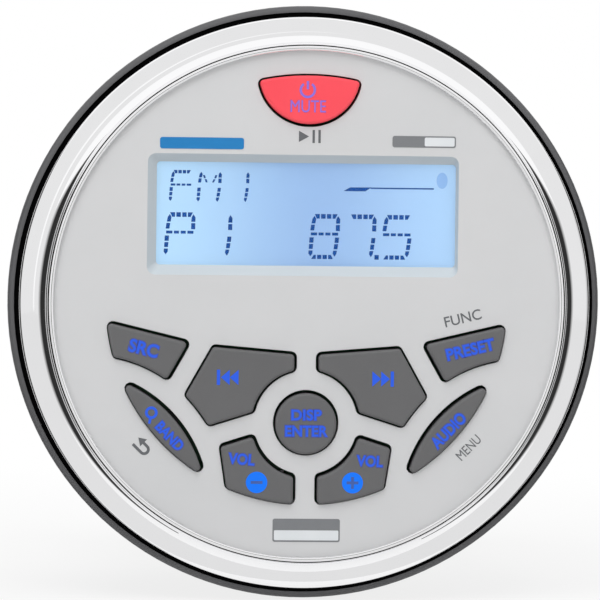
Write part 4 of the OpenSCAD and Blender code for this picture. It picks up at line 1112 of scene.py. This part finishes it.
def makeFigures(k):
    order = list(strokeParts)
    meshes = [meshOf(slabMesh(strokeParts[part], 1), "stroke" + part, "segmentInk") for part in order]
    rows = []
    for parts, x0, y0, x1, y1 in figures:
        size = (x1 - x0, y1 - y0, k["thick"])
        rows += [(order.index(part), (x0, y0, k["out"]), 0, size) for part in parts.split()]
    addObject("displayFigures", setPieces("displayFigures", meshes, rows, "segmentInk"), "stereo")
    x, y, wide, tall = k["oval"]
    oval = [(wide * px, tall * py) for px, py in disc(1.0)]
    addSlab("displayOval", [oval], k["out"], k["thick"], "panelMark", "stereo", (x, y))


makeFigures(displayInk)
print("display figures set")

# camera at the photograph's angle: slightly left of and above the face's axis
cameraForm = {"target": (0.0, -13.05, 0.0), "left": 3.6, "above": 2.0, "far": 660.0, "mmPerPixel": 0.1702,
              "pixel": (307.2, 304.2), "roll": 0.7, "frame": 600, "sensor": 36.0, "clip": (0.01, 50)}


def makeCamera(c):
    side, lift = math.radians(c["left"]), math.radians(c["above"])
    back = Vector((-math.sin(side) * math.cos(lift), -math.cos(side) * math.cos(lift), math.sin(lift)))
    right = (-back).cross(Vector((0, 0, 1))).normalized()
    up = right.cross(-back)
    half = c["frame"] / 2
    offset = (c["pixel"][0] - half) * right - (c["pixel"][1] - half) * up
    aim = Vector(c["target"]) - c["mmPerPixel"] * offset
    data = bpy.data.cameras.new("camera")
    data.sensor_width = c["sensor"]
    data.lens = c["sensor"] * c["far"] / (c["mmPerPixel"] * c["frame"])
    data.clip_start, data.clip_end = c["clip"]
    camera = inScene("camera", data)
    turn = Matrix((right, up, back)).transposed().to_4x4() @ Matrix.Rotation(math.radians(c["roll"]), 4, "Z")
    camera.matrix_world = Matrix.Translation((aim + back * c["far"]) * mm) @ turn
    bpy.context.scene.camera = camera


makeCamera(cameraForm)

# studio: pale floor, white surroundings for camera, metal and glass, soft light for the rest
studio = {"floor": -0.0515, "floorHalf": 6.0, "floorTone": (236, 236, 236), "floorRough": 0.9,
          "shadow": 0.18, "shadowReach": (0.1, 0.32), "ambient": 0.345}
lamps = {
    "overheadSoft": {"at": (-0.15, -0.7, 1.05), "size": 0.9, "watts": 10.2},
    "frontLeft": {"at": (-0.9, -1.1, 0.4), "size": 0.9, "watts": 3.2},
    "frontRight": {"at": (0.9, -1.1, 0.3), "size": 0.9, "watts": 2.0},
    "rearFill": {"at": (0.4, 1.2, 0.9), "size": 1.0, "watts": 6.6},
}
# one for rays from the camera, metal and glass, and none for the rest
seenNodes = {
    "path": ("ShaderNodeLightPath", {}),
    "shown": ("ShaderNodeMath", {"operation": "ADD", "use_clamp": True}),
    "seen": ("ShaderNodeMath", {"operation": "ADD", "use_clamp": True}),
}
seenLinks = ["path.Is Camera Ray > shown.0", "path.Is Glossy Ray > shown.1", "shown.0 > seen.0",
             "path.Is Transmission Ray > seen.1"]


def makeWorld(s):
    world = bpy.data.worlds.new("studioWorld")
    bpy.context.scene.world = world
    world.use_nodes = True
    found = world.node_tree.nodes
    made = {"shine": found["Background"], "out": found["World Output"]}
    setValues(made["shine"], {"Color": (1, 1, 1, 1), "Strength": s["ambient"]})
    wire(world.node_tree, made, {
        **seenNodes,
        "white": ("ShaderNodeBackground", {"Color": (1, 1, 1, 1)}),
        "mix": ("ShaderNodeMixShader", {}),
    }, seenLinks + ["seen.0 > mix.0", "shine.0 > mix.1", "white.0 > mix.2", "mix.0 > out.Surface"])


# the floor's shadow shows near the part, and the rest is white
def makeFloor(s):
    half, z = s["floorHalf"], s["floor"]
    mesh = bpy.data.meshes.new("floor")
    mesh.from_pydata([(x, y, z) for x, y in bar(-half, -half, half, half)], [], [(0, 1, 2, 3)])
    material, made = newMaterial("paleFloor")
    near, far = s["shadowReach"]
    setValues(made["shader"], {"Base Color": screen(*s["floorTone"]), "Roughness": s["floorRough"],
                               "Specular IOR Level": 0.0})
    wire(material.node_tree, made, {
        **seenNodes,
        "white": ("ShaderNodeEmission", {"Strength": 1.0}),
        "place": ("ShaderNodeTexCoord", {}),
        "away": ("ShaderNodeVectorMath", {"operation": "LENGTH"}),
        "fade": ("ShaderNodeMapRange", {"interpolation_type": "SMOOTHSTEP", "From Min": near, "From Max": far,
                                        "To Min": 1 - s["shadow"], "To Max": 1.0}),
        "share": ("ShaderNodeMath", {"operation": "MULTIPLY"}),
        "mix": ("ShaderNodeMixShader", {}),
    }, seenLinks + ["place.Object > away.0", "away.Value > fade.Value", "seen.0 > share.0",
                    "fade.Result > share.1", "share.0 > mix.0", "shader.0 > mix.1", "white.0 > mix.2",
                    "mix.0 > out.Surface"])
    mesh.materials.append(material)
    inScene("floor", mesh)


def makeLamps():
    for name, lamp in lamps.items():
        data = bpy.data.lights.new(name, "AREA")
        data.shape = "SQUARE"
        data.size = lamp["size"]
        data.energy = lamp["watts"]
        item = inScene(name, data)
        turn = Vector(lamp["at"]).to_track_quat("Z", "Y")
        item.matrix_world = Matrix.Translation(lamp["at"]) @ turn.to_matrix().to_4x4()
        item.visible_glossy = False


# boards that only the metal sees, in m, and how bright each looks
roundCards = {
    "tent": {"radii": (0.6, 0.6), "y": (-0.55, -0.03), "bright": 0.82},
    "cardFront": {"radii": (0.001, 0.3), "y": (-0.75, -0.75), "bright": 0.3},
}
floorCard = {"x": 0.6, "y": (-0.6, -0.0107), "z": -0.0512, "bright": 0.78}
# a dark band round the part: deep at both sides, a thin line below, nothing above
sideCard = {"radius": 0.058, "back": -0.0004, "deep": (-0.0113, -0.0082), "thin": (-0.0034, -0.0026),
            "level": 16, "turn": 46, "turnBelow": 68, "bright": 0.84, "dark": 0.03}
cardSteps = 144


def boardMaterial():
    material, made = newMaterial("studioBoard")
    material.node_tree.nodes.remove(made.pop("shader"))
    wire(material.node_tree, made, {
        "shine": ("ShaderNodeEmission", {}),
        "tone": ("ShaderNodeAttribute", {"attribute_name": "tone"}),
    }, ["tone.Fac > shine.Strength", "shine.0 > out.Surface"])
    return material


def addCard(name, rows, tones, material, closed=True):
    count = len(rows[0])
    mesh = bpy.data.meshes.new(name)
    faces = []
    for row in range(len(rows) - 1):
        for i in range(count if closed else count - 1):
            j = (i + 1) % count
            faces.append((row * count + i, row * count + j, (row + 1) * count + j, (row + 1) * count + i))
    mesh.from_pydata([p for row in rows for p in row], [], faces)
    values = [tone for tone in tones for _ in range(count)]
    mesh.attributes.new("tone", "FLOAT", "POINT").data.foreach_set("value", values)
    mesh.materials.append(material)
    card = inScene(name, mesh)
    for rays in ("camera", "diffuse", "transmission", "volume_scatter", "shadow"):
        setattr(card, "visible_" + rays, False)


def makeCards():
    material = boardMaterial()
    angles = [math.tau * i / cardSteps for i in range(cardSteps)]
    for name, card in roundCards.items():
        ends = zip(card["radii"], card["y"])
        rows = [[(r * math.cos(a), y, r * math.sin(a)) for a in angles] for r, y in ends]
        addCard(name, rows, [card["bright"]] * 2, material)
    f = floorCard
    rows = [[(x, y, f["z"]) for x in (-f["x"], f["x"])] for y in f["y"]]
    addCard("floorCard", rows, [f["bright"]] * 2, material, False)
    k = sideCard
    rows = [[], [], []]
    for a in angles:
        x, z = k["radius"] * math.cos(a), k["radius"] * math.sin(a)
        height = math.degrees(math.asin(math.sin(a)))  # from the level, below it negative
        turn = k["turn"] if height > 0 else k["turnBelow"]
        share = min(1.0, max(0.0, (turn - abs(height)) / (turn - k["level"])))
        share = share * share * (3 - 2 * share)
        for row, deep, thin in zip(rows, k["deep"], k["thin"]):
            end = k["back"] if height > 0 else thin
            row.append((x, end + share * (deep - end), z))
        rows[2].append((x, k["back"], z))
    addCard("sideCard", rows, [k["bright"], k["dark"], k["dark"]], material)


makeWorld(studio)
makeFloor(studio)
makeLamps()
makeCards()
bpy.context.scene.view_settings.view_transform = "Standard"
print("studio set")
